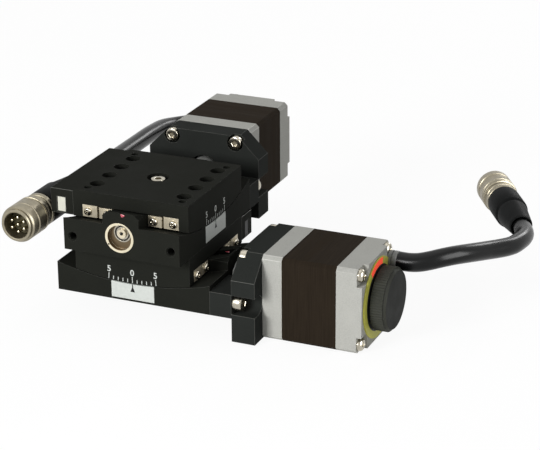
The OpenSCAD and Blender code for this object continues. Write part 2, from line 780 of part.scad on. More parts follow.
module motor_flange(u) {
    color(CAST) difference() {
        union() {
            frame_block(u, motor_y, stator_y);
            rod(0, axis_h[u], pilot_r, motor_y - pilot_l, motor_y + cut);
        }
        rod(0, axis_h[u], motor_shaft_r + running, motor_y - pilot_l - cut, stator_y + cut);
        rod(0, axis_h[u], rotor_r + cavity_room, stator_y - cap_cavity, stator_y + cut);
        axis_corners(u, motor_pitch, motor_y - cut) cylinder(r = M25[0], h = flange_l + 2 * cut);
    }
}

module motor_stator(u) {
    color(STACK) difference() {
        frame_block(u, stator_y, cap_y);
        rod(0, axis_h[u], rotor_r + air_gap, stator_y - cut, cap_y + cut);
        axis_corners(u, motor_pitch, stator_y - cut) cylinder(r = M25[1], h = stator_l + 2 * cut);
    }
}

module motor_rear_cap(u) {
    color(CAST) difference() {
        frame_block(u, cap_y, rear_y);
        rod(0, axis_h[u], motor_shaft_r + running, cap_y - cut, rear_y + cut);
        rod(0, axis_h[u], rotor_r + cavity_room, cap_y - cut, cap_y + cap_cavity);
        axis_corners(u, motor_pitch, cap_y - cut) cylinder(r = M25[1], h = cap_l + 2 * cut);
        axis_corners(u, motor_w, case_head_y)
            translate([-corner_w, -corner_w, 0]) cube([2 * corner_w, 2 * corner_w, cap_l]);
        rod(gland_at[0], axis_h[u] + gland_at[1], wire_r, cap_y + cap_cavity, rear_y + cut);
    }
}

module motor_rotor(u) {
    color(STEEL) {
        rod(0, axis_h[u], motor_shaft_r, coupling_mid + shaft_end_gap, knob_end - knob_wall - tip_gap);
        rod(0, axis_h[u], rotor_r, stator_y + cut, cap_y - cut);
    }
}

// Printed plate on the motor's rear face, with a notch at the cord gland
module dial_plate(u) {
    color("#9a8a2c") difference() {
        rod(0, axis_h[u], dial_r, rear_y, dial_y);
        rod(0, axis_h[u], motor_shaft_r + dial_room, rear_y - cut, dial_y + cut);
        rod(gland_at[0], axis_h[u] + gland_at[1], gland_r + head_fit, rear_y - cut, dial_y + cut);
    }
}

// Hand knob with a straight knurl, a chamfered rim and a hub toward the motor
module knob(u) {
    color(BLACK) translate([0, 0, axis_h[u]]) rotate([-90, 0, 0]) difference() {
        union() {
            translate([0, 0, dial_y + head_fit]) cylinder(r = hub_r, h = knob_gap);
            translate([0, 0, knob_y]) linear_extrude(knob_l - knob_chamfer) knurl(knob_r, knurl_d, knurl_n);
            translate([0, 0, knob_end - knob_chamfer])
                cylinder(r1 = rim_r, r2 = rim_r - knob_chamfer / 2, h = knob_chamfer);
        }
        translate([0, 0, dial_y]) cylinder(r = motor_shaft_r + bore_fit, h = knob_end - knob_wall - dial_y);
    }
}

module knurl(r, depth, n) {
    polygon([for (k = [0 : 2 * n - 1]) (r - depth * (k % 2)) * [cos(180 * k / n), sin(180 * k / n)]]);
}

module cord_gland(u) {
    color("#777a7c") rod(gland_at[0], axis_h[u] + gland_at[1], gland_r, rear_y, rear_y + gland_l);
}

// Screws of the fixed side: bracket, motor, motor case, rail stops, bush lock and joint to what is below
module frame_screws(u) {
    color(STEEL) {
        for (s = [-1, 1]) translate([s * foot_screw_x, plate_y, foot_screw_z]) rotate([-90, 0, 0])
            cap_screw(M3, foot_screw_l);
        axis_corners(u, motor_pitch, plate_y + spotface_d) mirror([0, 0, 1])
            cap_screw(M25, plate_t - spotface_d + motor_tap_l);
        axis_corners(u, motor_pitch, case_head_y)
            pan_screw(PAN, case_head_y - motor_y - motor_tap_l - tip_gap);
        rail_ends(u, inner_stop_x) pan_screw(STOP, stop_l);
        lock_screw(u);
        if (u == UPPER) corners(mount_pitch) translate([0, 0, mount_floor])
            cap_screw(M3_HELD, mount_floor + mount_tap_l - tip_gap);
    }
}

// Headless screw down through the tongue that locks the eccentric bush
module lock_screw(u) {
    bush = bush_at(u);
    top = axis_h[u] + bush[1] + bush_r;
    translate([bush[0], -base_end + bush_l / 2, top]) cylinder(r = M25[0] - screw_fit, h = lock_l);
}

// Screws of the moving side: outer rails, rail stops and the sector
module table_screws(u) {
    color(STEEL) {
        rail_holes() translate([0, 0, rail_seat_z]) cap_screw(M25, rail_screw_l);
        rail_ends(u, outer_stop_x) pan_screw(STOP, stop_l);
        translate([0, 0, unit_h - centre_bore_depth])
            cap_screw(M3_LOW, sector_back - centre_bore_depth + sector_tap_l - tip_gap);
    }
}

module sensor_cover(u) {
    z1 = unit_h - cover_drop;
    x0 = -table_w / 2 - cover_w;
    color(BLACK) difference() {
        translate([x0, -table_w / 2, z1 - cover_h]) cube([cover_w, table_w, cover_h]);
        translate([x0 + cover_side, -table_w / 2 - cut, z1 - cover_h + cover_t])
            cube([sensor_w + 2 * sensor_gap, table_w + 2 * cut, sensor_h + sensor_gap]);
    }
}

module limit_sensors(u) {
    z0 = unit_h - cover_drop - cover_h + cover_t;
    x = cover_side + sensor_gap + sensor_w / 2 - table_w / 2 - cover_w;
    y = table_w / 2 - sensor_inset - sensor_l / 2;
    color("white") for (s = [-1, 1]) translate([x, s * y, 0]) slab(sensor_w, sensor_l, z0, z0 + sensor_h);
}

// Pointer plate set into the base's side, its top edge on the arc
module pointer_plate(u) {
    color("white") difference() {
        translate([table_w / 2 - pointer_t, -pointer_w / 2, pointer_z])
            cube([pointer_t, pointer_w, unit_h]);
        drum(u, seam_r(u), 2 * table_w);
    }
}

module cord(u) {
    path = smooth(route(u));
    n = cord_sides;
    last = len(path) - 1;
    color(BLACK) polyhedron(
        [for (i = [0 : last]) each ring(path, i, cord_d / 2, n)],
        concat(
            [[for (k = [n - 1 : -1 : 0]) k], [for (k = [0 : n - 1]) last * n + k]],
            [for (i = [0 : last - 1]) for (k = [0 : n - 1]) each [
                [i * n + k, i * n + (k + 1) % n, (i + 1) * n + (k + 1) % n],
                [i * n + k, (i + 1) * n + (k + 1) % n, (i + 1) * n + k]
            ]]
        )
    );
}

// Tapered sleeve at the cord's end of a plug
module plug_backshell(u) {
    color(BLACK) place_plug(u) rotate_extrude() polygon([
        [0, 0], [cord_d / 2 + backshell_rear, 0], [shell_r + backshell_lip, backshell_taper],
        [shell_r + backshell_lip, backshell_l], [0, backshell_l]
    ]);
}

module plug_shell(u) {
    l = backshell_l + shell_l;
    color(STEEL) place_plug(u) difference() {
        union() {
            translate([0, 0, backshell_l]) cylinder(r = shell_r, h = shell_l);
            translate([0, 0, backshell_l])
                cylinder(r = shell_r + backshell_lip, h = ring_z - ring_clear - backshell_l);
            translate([0, 0, ring_z + ring_l + ring_clear]) cylinder(r = shell_r + lip_h, h = lip_w);
        }
        translate([0, 0, l - recess_l]) cylinder(r = shell_r - shell_t, h = recess_l + cut);
    }
}

// Coupling ring, free to turn on the shell, with grooves round its grip
module plug_ring(u) {
    color(STEEL) place_plug(u) translate([0, 0, ring_z]) difference() {
        cylinder(r = ring_r, h = ring_l);
        translate([0, 0, -cut]) cylinder(r = shell_r + running, h = ring_l + 2 * cut);
        for (k = [1 : grip_grooves_n])
            translate([0, 0, k * ring_l / (grip_grooves_n + 1) - grip_groove_w / 2]) difference() {
                cylinder(r = ring_r + cut, h = grip_groove_w);
                translate([0, 0, -cut]) cylinder(r = ring_r - grip_groove_d, h = grip_groove_w + 2 * cut);
            }
    }
}

// Insulator and pins in the plug's recess
module plug_contacts(u) {
    floor_z = backshell_l + shell_l - recess_l;
    pin_l = recess_l - pin_setback;
    color(BRASS) place_plug(u) translate([0, 0, floor_z]) {
        cylinder(r = shell_r - shell_t - bore_fit, h = insert_l);
        cylinder(r = pin_r, h = pin_l);
        for (k = [1 : pins_n]) rotate([0, 0, 360 * k / pins_n]) translate([pin_circle_r, 0, 0])
            cylinder(r = pin_r, h = pin_l);
    }
}

place(LOWER) base(LOWER);  // lower_base
place(LOWER) inner_rails(LOWER);  // lower_inner_rails
place(LOWER) motor_bracket(LOWER);  // lower_motor_bracket
place(LOWER) motor_flange(LOWER);  // lower_motor_flange
place(LOWER) motor_stator(LOWER);  // lower_motor_stator
place(LOWER) motor_rear_cap(LOWER);  // lower_motor_rear_cap
place(LOWER) bearing_bush(LOWER);  // lower_bearing_bush
place(LOWER) bearing_outer_rings(LOWER);  // lower_bearing_outer_rings
place(LOWER) pointer_plate(LOWER);  // lower_pointer_plate
place(LOWER) frame_screws(LOWER);  // lower_frame_screws
place(LOWER) dial_plate(LOWER);  // lower_dial_plate
place(LOWER) cord_gland(LOWER);  // lower_cord_gland
cord(LOWER);  // lower_cord
plug_backshell(LOWER);  // lower_plug_backshell
plug_shell(LOWER);  // lower_plug_shell
plug_contacts(LOWER);  // lower_plug_contacts
place(LOWER) table(LOWER);  // lower_table
place(LOWER) outer_rails(LOWER);  // lower_outer_rails
place(LOWER) worm_sector(LOWER);  // lower_worm_sector
place(LOWER) table_screws(LOWER);  // lower_table_screws
place(LOWER) sensor_cover(LOWER);  // lower_sensor_cover
place(LOWER) limit_sensors(LOWER);  // lower_limit_sensors
place(LOWER) worm_shaft(LOWER);  // lower_worm_shaft
place(LOWER) bearing_inner_rings(LOWER);  // lower_bearing_inner_rings
place(LOWER) shaft_coupling(LOWER);  // lower_shaft_coupling
place(LOWER) motor_rotor(LOWER);  // lower_motor_rotor
place(LOWER) knob(LOWER);  // lower_knob
place(LOWER) roller_cages(LOWER);  // lower_roller_cages
place(LOWER) rollers(LOWER);  // lower_rollers
plug_ring(LOWER);  // lower_plug_ring
place(UPPER) base(UPPER);  // upper_base
place(UPPER) inner_rails(UPPER);  // upper_inner_rails
place(UPPER) motor_bracket(UPPER);  // upper_motor_bracket
place(UPPER) motor_flange(UPPER);  // upper_motor_flange
place(UPPER) motor_stator(UPPER);  // upper_motor_stator
place(UPPER) motor_rear_cap(UPPER);  // upper_motor_rear_cap
place(UPPER) bearing_bush(UPPER);  // upper_bearing_bush
place(UPPER) bearing_outer_rings(UPPER);  // upper_bearing_outer_rings
place(UPPER) pointer_plate(UPPER);  // upper_pointer_plate
place(UPPER) frame_screws(UPPER);  // upper_frame_screws
place(UPPER) dial_plate(UPPER);  // upper_dial_plate
place(UPPER) cord_gland(UPPER);  // upper_cord_gland
cord(UPPER);  // upper_cord
plug_backshell(UPPER);  // upper_plug_backshell
plug_shell(UPPER);  // upper_plug_shell
plug_contacts(UPPER);  // upper_plug_contacts
place(UPPER) table(UPPER);  // upper_table
place(UPPER) outer_rails(UPPER);  // upper_outer_rails
place(UPPER) worm_sector(UPPER);  // upper_worm_sector
place(UPPER) table_screws(UPPER);  // upper_table_screws
place(UPPER) sensor_cover(UPPER);  // upper_sensor_cover
place(UPPER) limit_sensors(UPPER);  // upper_limit_sensors
place(UPPER) worm_shaft(UPPER);  // upper_worm_shaft
place(UPPER) bearing_inner_rings(UPPER);  // upper_bearing_inner_rings
place(UPPER) shaft_coupling(UPPER);  // upper_shaft_coupling
place(UPPER) motor_rotor(UPPER);  // upper_motor_rotor
place(UPPER) knob(UPPER);  // upper_knob
place(UPPER) roller_cages(UPPER);  // upper_roller_cages
place(UPPER) rollers(UPPER);  // upper_rollers
plug_ring(UPPER);  // upper_plug_ring
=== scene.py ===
"""Dresses a two-axis motor-driven tilt stage: finishes, cords, plugs, scales, dials and paint marks.

Lengths are in metres in the part's own frame, with +Z up, +X toward the lower motor and +Y toward the
upper one. Outlines that are turned and the points of the cords are in millimetres.
"""

import json
import logging
import math
from collections.abc import Iterable, Sequence
from dataclasses import dataclass, replace
from enum import Enum
from functools import lru_cache

import bmesh
import bpy
from bmesh.types import BMesh, BMVert
from bpy.types import ID, Material, Mesh, Node, NodeSocket, NodeTree, Object
from mathutils import Matrix, Vector


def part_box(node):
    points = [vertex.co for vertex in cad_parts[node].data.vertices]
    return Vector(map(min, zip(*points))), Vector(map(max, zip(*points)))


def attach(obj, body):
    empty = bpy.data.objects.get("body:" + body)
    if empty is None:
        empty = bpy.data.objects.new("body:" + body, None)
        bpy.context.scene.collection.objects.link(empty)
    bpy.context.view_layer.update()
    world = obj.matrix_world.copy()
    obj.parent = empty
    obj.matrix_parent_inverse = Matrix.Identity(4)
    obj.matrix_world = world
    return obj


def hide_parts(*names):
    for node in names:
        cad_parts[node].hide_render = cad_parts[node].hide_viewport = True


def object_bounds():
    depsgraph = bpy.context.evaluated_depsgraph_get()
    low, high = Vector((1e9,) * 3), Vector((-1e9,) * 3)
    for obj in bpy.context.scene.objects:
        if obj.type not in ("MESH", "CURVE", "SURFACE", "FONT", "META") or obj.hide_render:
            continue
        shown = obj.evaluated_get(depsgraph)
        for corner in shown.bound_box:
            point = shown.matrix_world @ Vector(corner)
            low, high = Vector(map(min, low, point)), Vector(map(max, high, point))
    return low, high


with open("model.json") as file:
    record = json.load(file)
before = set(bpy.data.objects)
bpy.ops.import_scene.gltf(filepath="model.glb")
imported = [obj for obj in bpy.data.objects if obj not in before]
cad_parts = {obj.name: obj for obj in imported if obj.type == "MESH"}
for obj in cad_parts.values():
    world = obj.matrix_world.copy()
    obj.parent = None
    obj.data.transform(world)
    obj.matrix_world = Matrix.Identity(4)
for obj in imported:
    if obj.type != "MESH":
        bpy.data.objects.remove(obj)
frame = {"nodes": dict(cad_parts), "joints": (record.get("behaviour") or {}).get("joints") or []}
CAD_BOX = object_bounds()
LOG = logging.getLogger("tilt_stage")
Point = tuple[float, float, float]
Colour = tuple[float, float, float]

MM = 0.001
# Corners that are nearer than this are one corner
WELD = 1e-6
# A face counts as an end of its piece within this depth
END_DEPTH = 0.0001
# Degrees between faces: up to the first they are one plane, and from the second their edge is sharp
FLAT_ANGLE = 0.2
SHARP_ANGLE = 35.0
# Steps across a rounded edge
EDGE_STEPS = 2
# Material slots of a dressed solid, after that of its faces
EDGE_SLOT, ENDS_SLOT = 1, 2
# Detail of the fine and of the broad noise, the roughness of both, and the span that holds most values
FINE_DETAIL, BROAD_DETAIL = 4.0, 3.0
NOISE_ROUGHNESS = 0.6
NOISE_SPAN = (0.35, 0.65)
# Largest share of the plain colour in the broad patches
PATCH_SHARE = 0.6
# Colour sockets of Blender's Mix node
MIX_FIRST, MIX_SECOND, MIX_RESULT = 6, 7, 2


def tint(code: str) -> Colour:
    """Turns a screen colour into linear values.

    Args:
        code: Colour such as "#26292a".

    Returns:
        Red, green and blue in linear light.
    """
    parts = (int(code[i:i + 2], 16) / 255 for i in (1, 3, 5))
    return tuple(p / 12.92 if p <= 0.04045 else ((p + 0.055) / 1.055) ** 2.4 for p in parts)


def joint(name: str) -> dict:
    """Returns the frame's joint of that name."""
    return next(j for j in frame["joints"] if j["name"] == name)


def link(name: str, data: ID) -> Object:
    """Makes an object and links it to the scene.

    Args:
        name: Name of the object.
        data: Its mesh, curve, lamp or camera.

    Returns:
        The new object.
    """
    thing = bpy.data.objects.new(name, data)
    bpy.context.scene.collection.objects.link(thing)
    return thing


def facing(way: Vector, up: str = "X") -> Matrix:
    """Returns the turn that points +Z along a direction, with the named axis upward."""
    return way.to_track_quat("Z", up).to_matrix().to_4x4()


class Graph:
    """A material's nodes, with short calls for adding and joining them."""

    def __init__(self, name: str) -> None:
        """Starts a material with one Principled shader.

        Args:
            name: Name of the material.
        """
        self.material = bpy.data.materials.new(name)
        self.material.use_nodes = True
        self.tree = self.material.node_tree
        self.shader = self.tree.nodes["Principled BSDF"]

    def feed(self, socket: NodeSocket, value: object) -> None:
        """Links a socket to another one, or sets its value.

        Args:
            socket: Input to feed.
            value: An output socket, a number or a colour.
        """
        if isinstance(value, NodeSocket):
            self.tree.links.new(value, socket)
        elif socket.type == "RGBA":
            socket.default_value = (*value, 1.0)
        else:
            socket.default_value = value

    def add(self, kind: str, inputs: dict, **settings: object) -> Node:
        """Adds a node.

        Args:
            kind: Blender's name of the node type.
            inputs: Input names or numbers and what feeds them.
            settings: Properties of the node.

        Returns:
            The new node.
        """
        node = self.tree.nodes.new(kind)
        for key, value in settings.items():
            setattr(node, key, value)
        for key, value in inputs.items():
            self.feed(node.inputs[key], value)
        return node

    def place(self, stretch: Point) -> NodeSocket:
        """Returns the part's coordinates, each axis multiplied by its share of stretch."""
        inputs = {"Vector": self.add("ShaderNodeTexCoord", {}).outputs["Object"], "Scale": stretch}
        return self.add("ShaderNodeMapping", inputs).outputs[0]

    def noise(self, place: NodeSocket, size: float, detail: float) -> NodeSocket:
        """Returns noise between 0 and 1 whose features have about that size in metres."""
        inputs = {"Vector": place, "Scale": 1 / size, "Detail": detail, "Roughness": NOISE_ROUGHNESS}
        return self.add("ShaderNodeTexNoise", inputs).outputs["Fac"]

    def span(self, noise: NodeSocket, low: float, high: float) -> NodeSocket:
        """Returns noise stretched so that its usual span becomes low to high.

        Args:
            noise: Noise between 0 and 1.
            low: Result at the lower end of the span.
            high: Result at its upper end.

        Returns:
            The stretched noise.
        """
        start, end = NOISE_SPAN
        inputs = {"Value": noise, "From Min": start, "From Max": end, "To Min": low, "To Max": high}
        return self.add("ShaderNodeMapRange", inputs).outputs["Result"]

    def mix(self, share: NodeSocket, first: object, second: object) -> NodeSocket:
        """Returns a colour between two others.

        Args:
            share: Share of the second colour.
            first: A colour, or a socket that gives one.
            second: The other colour.

        Returns:
            The mixed colour.
        """
        inputs = {"Factor": share, MIX_FIRST: first, MIX_SECOND: second}
        return self.add("ShaderNodeMix", inputs, data_type="RGBA").outputs[MIX_RESULT]

    def bump(self, height: NodeSocket, strength: float, depth: float) -> NodeSocket:
        """Returns a normal raised by height, depth metres high at most."""
        inputs = {"Height": height, "Strength": strength, "Distance": depth}
        return self.add("ShaderNodeBump", inputs).outputs["Normal"]


class Grain(Enum):
    """Surface textures as sizes in metres: fine grain, broad patches and depth of the grain."""

    BLASTED = (0.00016, 0.014, 0.00002)
    CAST = (0.00045, 0.005, 0.00006)
    BRUSHED = (0.0001, 0.004, 0.000012)
    STACKED = (0.0004, 0.003, 0.00005)
    MOULDED = (0.0002, 0.008, 0.000015)
    SMOOTH = (0.0011, 0.02, 0.00001)


@dataclass(frozen=True)
class Finish:
    """What one surface looks like."""

    name: str
    colour: Colour
    shade: Colour
    grain: Grain
    metallic: float = 0.0
    roughness: tuple[float, float] = (0.4, 0.5)
    bump: float = 0.5
    specular: float = 0.5
    stretch: Point = (1.0, 1.0, 1.0)
    coat: float = 0.0
    # Emission strength in the finish's colour: where it is set, the surface glows as painted light
    glow: float = 0.0

    def along(self, axis: int, length: float = 0.03) -> "Finish":
        """Draws the grain out along an axis or, for a stack, across it.

        Args:
            axis: Number of the axis.
            length: Share that is left of the grain's frequency.

        Returns:
            This finish with that grain.
        """
        across = self.grain is Grain.STACKED
        stretch = tuple(length if (i == axis) != across else 1.0 for i in range(3))
        return replace(self, name=f"{self.name}_{'xyz'[axis]}", stretch=stretch)


@lru_cache(maxsize=None)
def material_of(finish: Finish) -> Material:
    """Makes a finish's material.

    Args:
        finish: The finish.

    Returns:
        One material for each finish.
    """
    fine, broad, depth = finish.grain.value
    graph = Graph(finish.name)
    shader = graph.shader.inputs
    place = graph.place(finish.stretch)
    speck = graph.noise(place, fine, FINE_DETAIL)
    patch = graph.noise(place, broad, BROAD_DETAIL)
    flecked = graph.mix(graph.span(speck, 0.0, 1.0), finish.colour, finish.shade)
    patched = graph.mix(graph.span(patch, 0.0, PATCH_SHARE), flecked, finish.colour)
    graph.feed(shader["Base Color"], patched)
    graph.feed(shader["Roughness"], graph.span(patch, *finish.roughness))
    graph.feed(shader["Normal"], graph.bump(speck, finish.bump, depth))
    graph.feed(shader["Metallic"], finish.metallic)
    graph.feed(shader["Specular IOR Level"], finish.specular)
    graph.feed(shader["Coat Weight"], finish.coat)
    # Emission: painted light for the finishes that glow
    graph.feed(shader["Emission Color"], finish.colour)
    graph.feed(shader["Emission Strength"], finish.glow)
    return graph.material


ANODISED = Finish("black_anodised", tint("#252622"), tint("#1d1e1b"), Grain.BLASTED,
                  roughness=(0.6, 0.72), bump=0.4, specular=0.015)
# The bracket's anodising is painted lighter than the rest: a painted reflection on its faces
BRACKET_SHEEN = replace(ANODISED, name="bracket_anodised_painted_sheen", colour=tint("#2d2f2d"), shade=tint("#252725"))
# Lighter rounded edges of the black anodised parts: partly real wear and partly painted highlight along
# the edges
WORN_AND_HIGHLIT_EDGE = Finish("worn_and_highlit_anodised_edge", tint("#494a45"), tint("#5c5d57"), Grain.BLASTED,
                   roughness=(0.4, 0.5), bump=0.3, specular=0.3)
CAST = Finish("die_cast", tint("#b9b9b3"), tint("#ababa5"), Grain.CAST,
              roughness=(0.55, 0.65), bump=0.6, specular=0.06)
# Lighter rounded edges of the die cast parts: painted highlight along the edges
CAST_HIGHLIGHT_EDGE = replace(CAST, name="cast_edge_painted_highlight", colour=tint("#e0e0da"), shade=tint("#d6d6d0"))
STACK = Finish("laminations", tint("#2f2820"), tint("#251f19"), Grain.STACKED,
               roughness=(0.5, 0.65), bump=0.3, specular=0.01)
RAIL = Finish("ground_rail", tint("#d6ccb4"), tint("#c2b8a0"), Grain.SMOOTH,
              metallic=0.5, roughness=(0.36, 0.46), bump=0.2)
NICKEL = Finish("nickel_plate", tint("#b9b3a4"), tint("#a39d8f"), Grain.SMOOTH,
                metallic=1.0, roughness=(0.16, 0.26), bump=0.2)
PLUG_METAL = Finish("plug_nickel", tint("#968f7d"), tint("#817a69"), Grain.SMOOTH,
                    metallic=1.0, roughness=(0.32, 0.42), bump=0.2)
# Black standing in for shade: screws sunk in the table's deep counterbores and the lower unit's limit
# sensors are painted this black as painted shade
SHADE_BLACK = Finish("painted_shade_black", tint("#1b1b1b"), tint("#252526"), Grain.SMOOTH,
                 roughness=(0.3, 0.42), bump=0.3, specular=0.2)
BUSH = Finish("champagne_bush", tint("#6f6049"), tint("#5b4d38"), Grain.BRUSHED,
              metallic=0.8, roughness=(0.3, 0.4), bump=0.25)
BUSH_RIM = Finish("turned_rim", tint("#e3d9bf"), tint("#cfc5aa"), Grain.BRUSHED,
                  metallic=0.6, roughness=(0.3, 0.4), bump=0.2)
BRASS = Finish("gear_brass", tint("#c99f55"), tint("#ab8140"), Grain.BRUSHED,
               metallic=1.0, roughness=(0.28, 0.4), bump=0.4)
CONTACT = Finish("contact_plate", tint("#d8d0b8"), tint("#c6bda2"), Grain.SMOOTH,
                 metallic=1.0, roughness=(0.18, 0.28), bump=0.2)
WHITE = Finish("white_enamel", tint("#cfd3ce"), tint("#c6cac5"), Grain.SMOOTH,
               roughness=(0.4, 0.5), bump=0.2, specular=0.2)
# Black for printed marks and for painted shade: the knob's painted shadow on the dial and the centre hole
# in the worm shaft's end
BLACK_INK_AND_SHADE = Finish("black_ink_and_painted_shade", tint("#161616"), tint("#202020"), Grain.MOULDED,
                   roughness=(0.5, 0.6), bump=0.2, specular=0.2)
OLIVE = Finish("olive_print", tint("#d0cd5a"), tint("#c1be50"), Grain.SMOOTH,
               roughness=(0.42, 0.52), bump=0.3, specular=0.2)
# The red print also glows a little, though it is no lamp: painted light
SIGNAL_GLOWING = Finish("red_print_painted_glow", tint("#f2543a"), tint("#e44a33"), Grain.SMOOTH,
                roughness=(0.42, 0.52), bump=0.3, specular=0.2, glow=0.55)
SEAL = Finish("sealing_paint", tint("#c04a5a"), tint("#a03846"), Grain.SMOOTH,
              roughness=(0.2, 0.3), bump=0.4, coat=0.5)
GLAND = Finish("gland_grey", tint("#8f908d"), tint("#7f807d"), Grain.MOULDED,
               roughness=(0.4, 0.5), bump=0.5, specular=0.3)
JACKET = Finish("cord_jacket", tint("#0b0c0c"), tint("#101111"), Grain.SMOOTH,
                roughness=(0.22, 0.28), bump=0.2, specular=0.2)
SLEEVE = Finish("sleeve_black", tint("#0f1010"), tint("#151616"), Grain.MOULDED,
                roughness=(0.46, 0.56), bump=0.3, specular=0.05)
INSULATOR = Finish("insulator_olive", tint("#4d4937"), tint("#423e2f"), Grain.MOULDED,
                   roughness=(0.4, 0.5), bump=0.3, specular=0.2)
KNOB = Finish("knob_grey", tint("#3a3b36"), tint("#45463f"), Grain.MOULDED,
              roughness=(0.5, 0.6), bump=0.5, specular=0.05)
# The knob's end faces are painted darker than its ridged side: painted shade
KNOB_FACE_SHADE = Finish("knob_face_painted_shade", tint("#252624"), tint("#2b2c2a"), Grain.MOULDED,
                   roughness=(0.5, 0.6), bump=0.5, specular=0.04)
SENSOR = Finish("sensor_white", tint("#dcdccf"), tint("#cfcfc2"), Grain.MOULDED,
                roughness=(0.4, 0.5), bump=0.4, specular=0.3)
# Finishes whose grain lies along or across the motor's axis
DIRECTED = (STACK, RAIL)


@dataclass(frozen=True)
class Dressing:
    """Finish of one solid, width of its rounded edges, and the finishes of those edges and of its ends."""

    finish: Finish
    edge_width: float
    edge: Finish | None = None
    ends: Finish | None = None


DRESSINGS: dict[str, Dressing] = {
    # The anodised parts' rounded edges get a lighter finish: partly wear, partly painted highlight
    "base": Dressing(ANODISED, 0.22 * MM, WORN_AND_HIGHLIT_EDGE),
    "table": Dressing(ANODISED, 0.22 * MM, WORN_AND_HIGHLIT_EDGE),
    "motor_bracket": Dressing(BRACKET_SHEEN, 0.25 * MM, WORN_AND_HIGHLIT_EDGE),
    "sensor_cover": Dressing(ANODISED, 0.12 * MM, WORN_AND_HIGHLIT_EDGE),
    "inner_rails": Dressing(RAIL, 0.06 * MM),
    "outer_rails": Dressing(RAIL, 0.06 * MM),
    # The cast parts' rounded edges get a lighter finish as painted highlight
    "motor_flange": Dressing(CAST, 0.2 * MM, CAST_HIGHLIGHT_EDGE),
    "motor_rear_cap": Dressing(CAST, 0.25 * MM, CAST_HIGHLIGHT_EDGE),
    "motor_stator": Dressing(STACK, 0.08 * MM),
    "bearing_bush": Dressing(BUSH, 0.12 * MM, BUSH_RIM, BUSH_RIM),
    "bearing_outer_rings": Dressing(NICKEL, 0.05 * MM),
    "bearing_inner_rings": Dressing(NICKEL, 0.05 * MM),
    "pointer_plate": Dressing(WHITE, 0.05 * MM),
    "dial_plate": Dressing(OLIVE, 0.1 * MM),
    "worm_sector": Dressing(BRASS, 0.03 * MM),
    "worm_shaft": Dressing(RAIL, 0.03 * MM),
    "shaft_coupling": Dressing(GLAND, 0.15 * MM),
    "motor_rotor": Dressing(RAIL, 0.1 * MM),
    # The knob's ends get the darker finish as painted shade
    "knob": Dressing(KNOB, 0.08 * MM, None, KNOB_FACE_SHADE),
    "roller_cages": Dressing(BRASS, 0.03 * MM),
    "rollers": Dressing(RAIL, 0.05 * MM),
}
SENSOR_EDGE = 0.15 * MM


def round_edges(piece: Object, width: float, slot: int) -> None:
    """Rounds a piece's sharp edges.

    Args:
        piece: Mesh object.
        width: Width of the rounding in metres.
        slot: Material slot of the rounding, or -1 for that of the faces beside it.
    """
    weld = piece.modifiers.new("weld", "WELD")
    weld.merge_threshold = WELD
    flat = piece.modifiers.new("flat_faces", "DECIMATE")
    flat.decimate_type = "DISSOLVE"
    flat.angle_limit = math.radians(FLAT_ANGLE)
    edges = piece.modifiers.new("edges", "BEVEL")
    edges.width = width
    edges.segments = EDGE_STEPS
    edges.limit_method = "ANGLE"
    edges.angle_limit = math.radians(SHARP_ANGLE)
    edges.material = slot
    normals = piece.modifiers.new("normals", "WEIGHTED_NORMAL")
    normals.keep_sharp = True


def new_piece(name: str, mesh: Mesh, finish: Finish, body: str) -> Object:
    """Adds a mesh to the scene as a piece of the object.

    Args:
        name: Name of the piece.
        mesh: Its mesh, in the part's frame.
        finish: Its finish.
        body: Body that it moves with.

    Returns:
        The new object.
    """
    piece = link(name, mesh)
    mesh.materials.append(material_of(finish))
    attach(piece, body)
    LOG.info("made %s on %s", name, body)
    return piece


def mesh_from(name: str, work: BMesh, place: Matrix, sharp: float = SHARP_ANGLE) -> Mesh:
    """Turns a working mesh into a smooth-shaded one with sharp corners.

    Args:
        name: Name of the mesh.
        work: Working mesh in its own frame, freed here.
        place: Where that frame lies in the part.
        sharp: Angle in degrees from which an edge stays sharp.

    Returns:
        The finished mesh.
    """
    bmesh.ops.recalc_face_normals(work, faces=work.faces)
    mesh = bpy.data.meshes.new(name)
    work.to_mesh(mesh)
    work.free()
    mesh.transform(place)
    mesh.shade_smooth()
    mesh.set_sharp_from_angle(angle=math.radians(sharp))
    return mesh


# Depth of a ridge, and half the width of a cross recess's arm, as shares of the radius
RIDGE_DEPTH = 0.013
CROSS_ARM = 0.25
LEAST_SINE = 0.01


class Section(Enum):
    """Cross-sections of a turned piece."""

    ROUND = "round"
    RIDGED = "ridged"
    HEXAGON = "hexagon"
    CROSS = "cross"

    def reach(self, angle: float, ridges: int) -> float:
        """Gives the outline's distance from the axis.

        Args:
            angle: Angle about the axis.
            ridges: Ridges round a ridged outline.

        Returns:
            The distance as a share of the nominal radius.
        """
        if self is Section.RIDGED:
            return 1 + RIDGE_DEPTH * (math.cos(ridges * angle) - 1)
        if self is Section.HEXAGON:
            return 1 / math.cos((angle + math.pi / 6) % (math.pi / 3) - math.pi / 6)
        if self is Section.CROSS:
            fold = abs((angle + math.pi / 4) % (math.pi / 2) - math.pi / 4)
            return min(1 / math.cos(fold), CROSS_ARM / max(math.sin(fold), LEAST_SINE))
        return 1.0


Outline = Sequence[tuple[float, float] | tuple[float, float, Section]]


def scaled(shares: Outline, radius: float, height: float) -> Outline:
    """Returns an outline given as shares, brought to a radius and a height."""
    return [(share * radius, rise * height, *section) for share, rise, *section in shares]


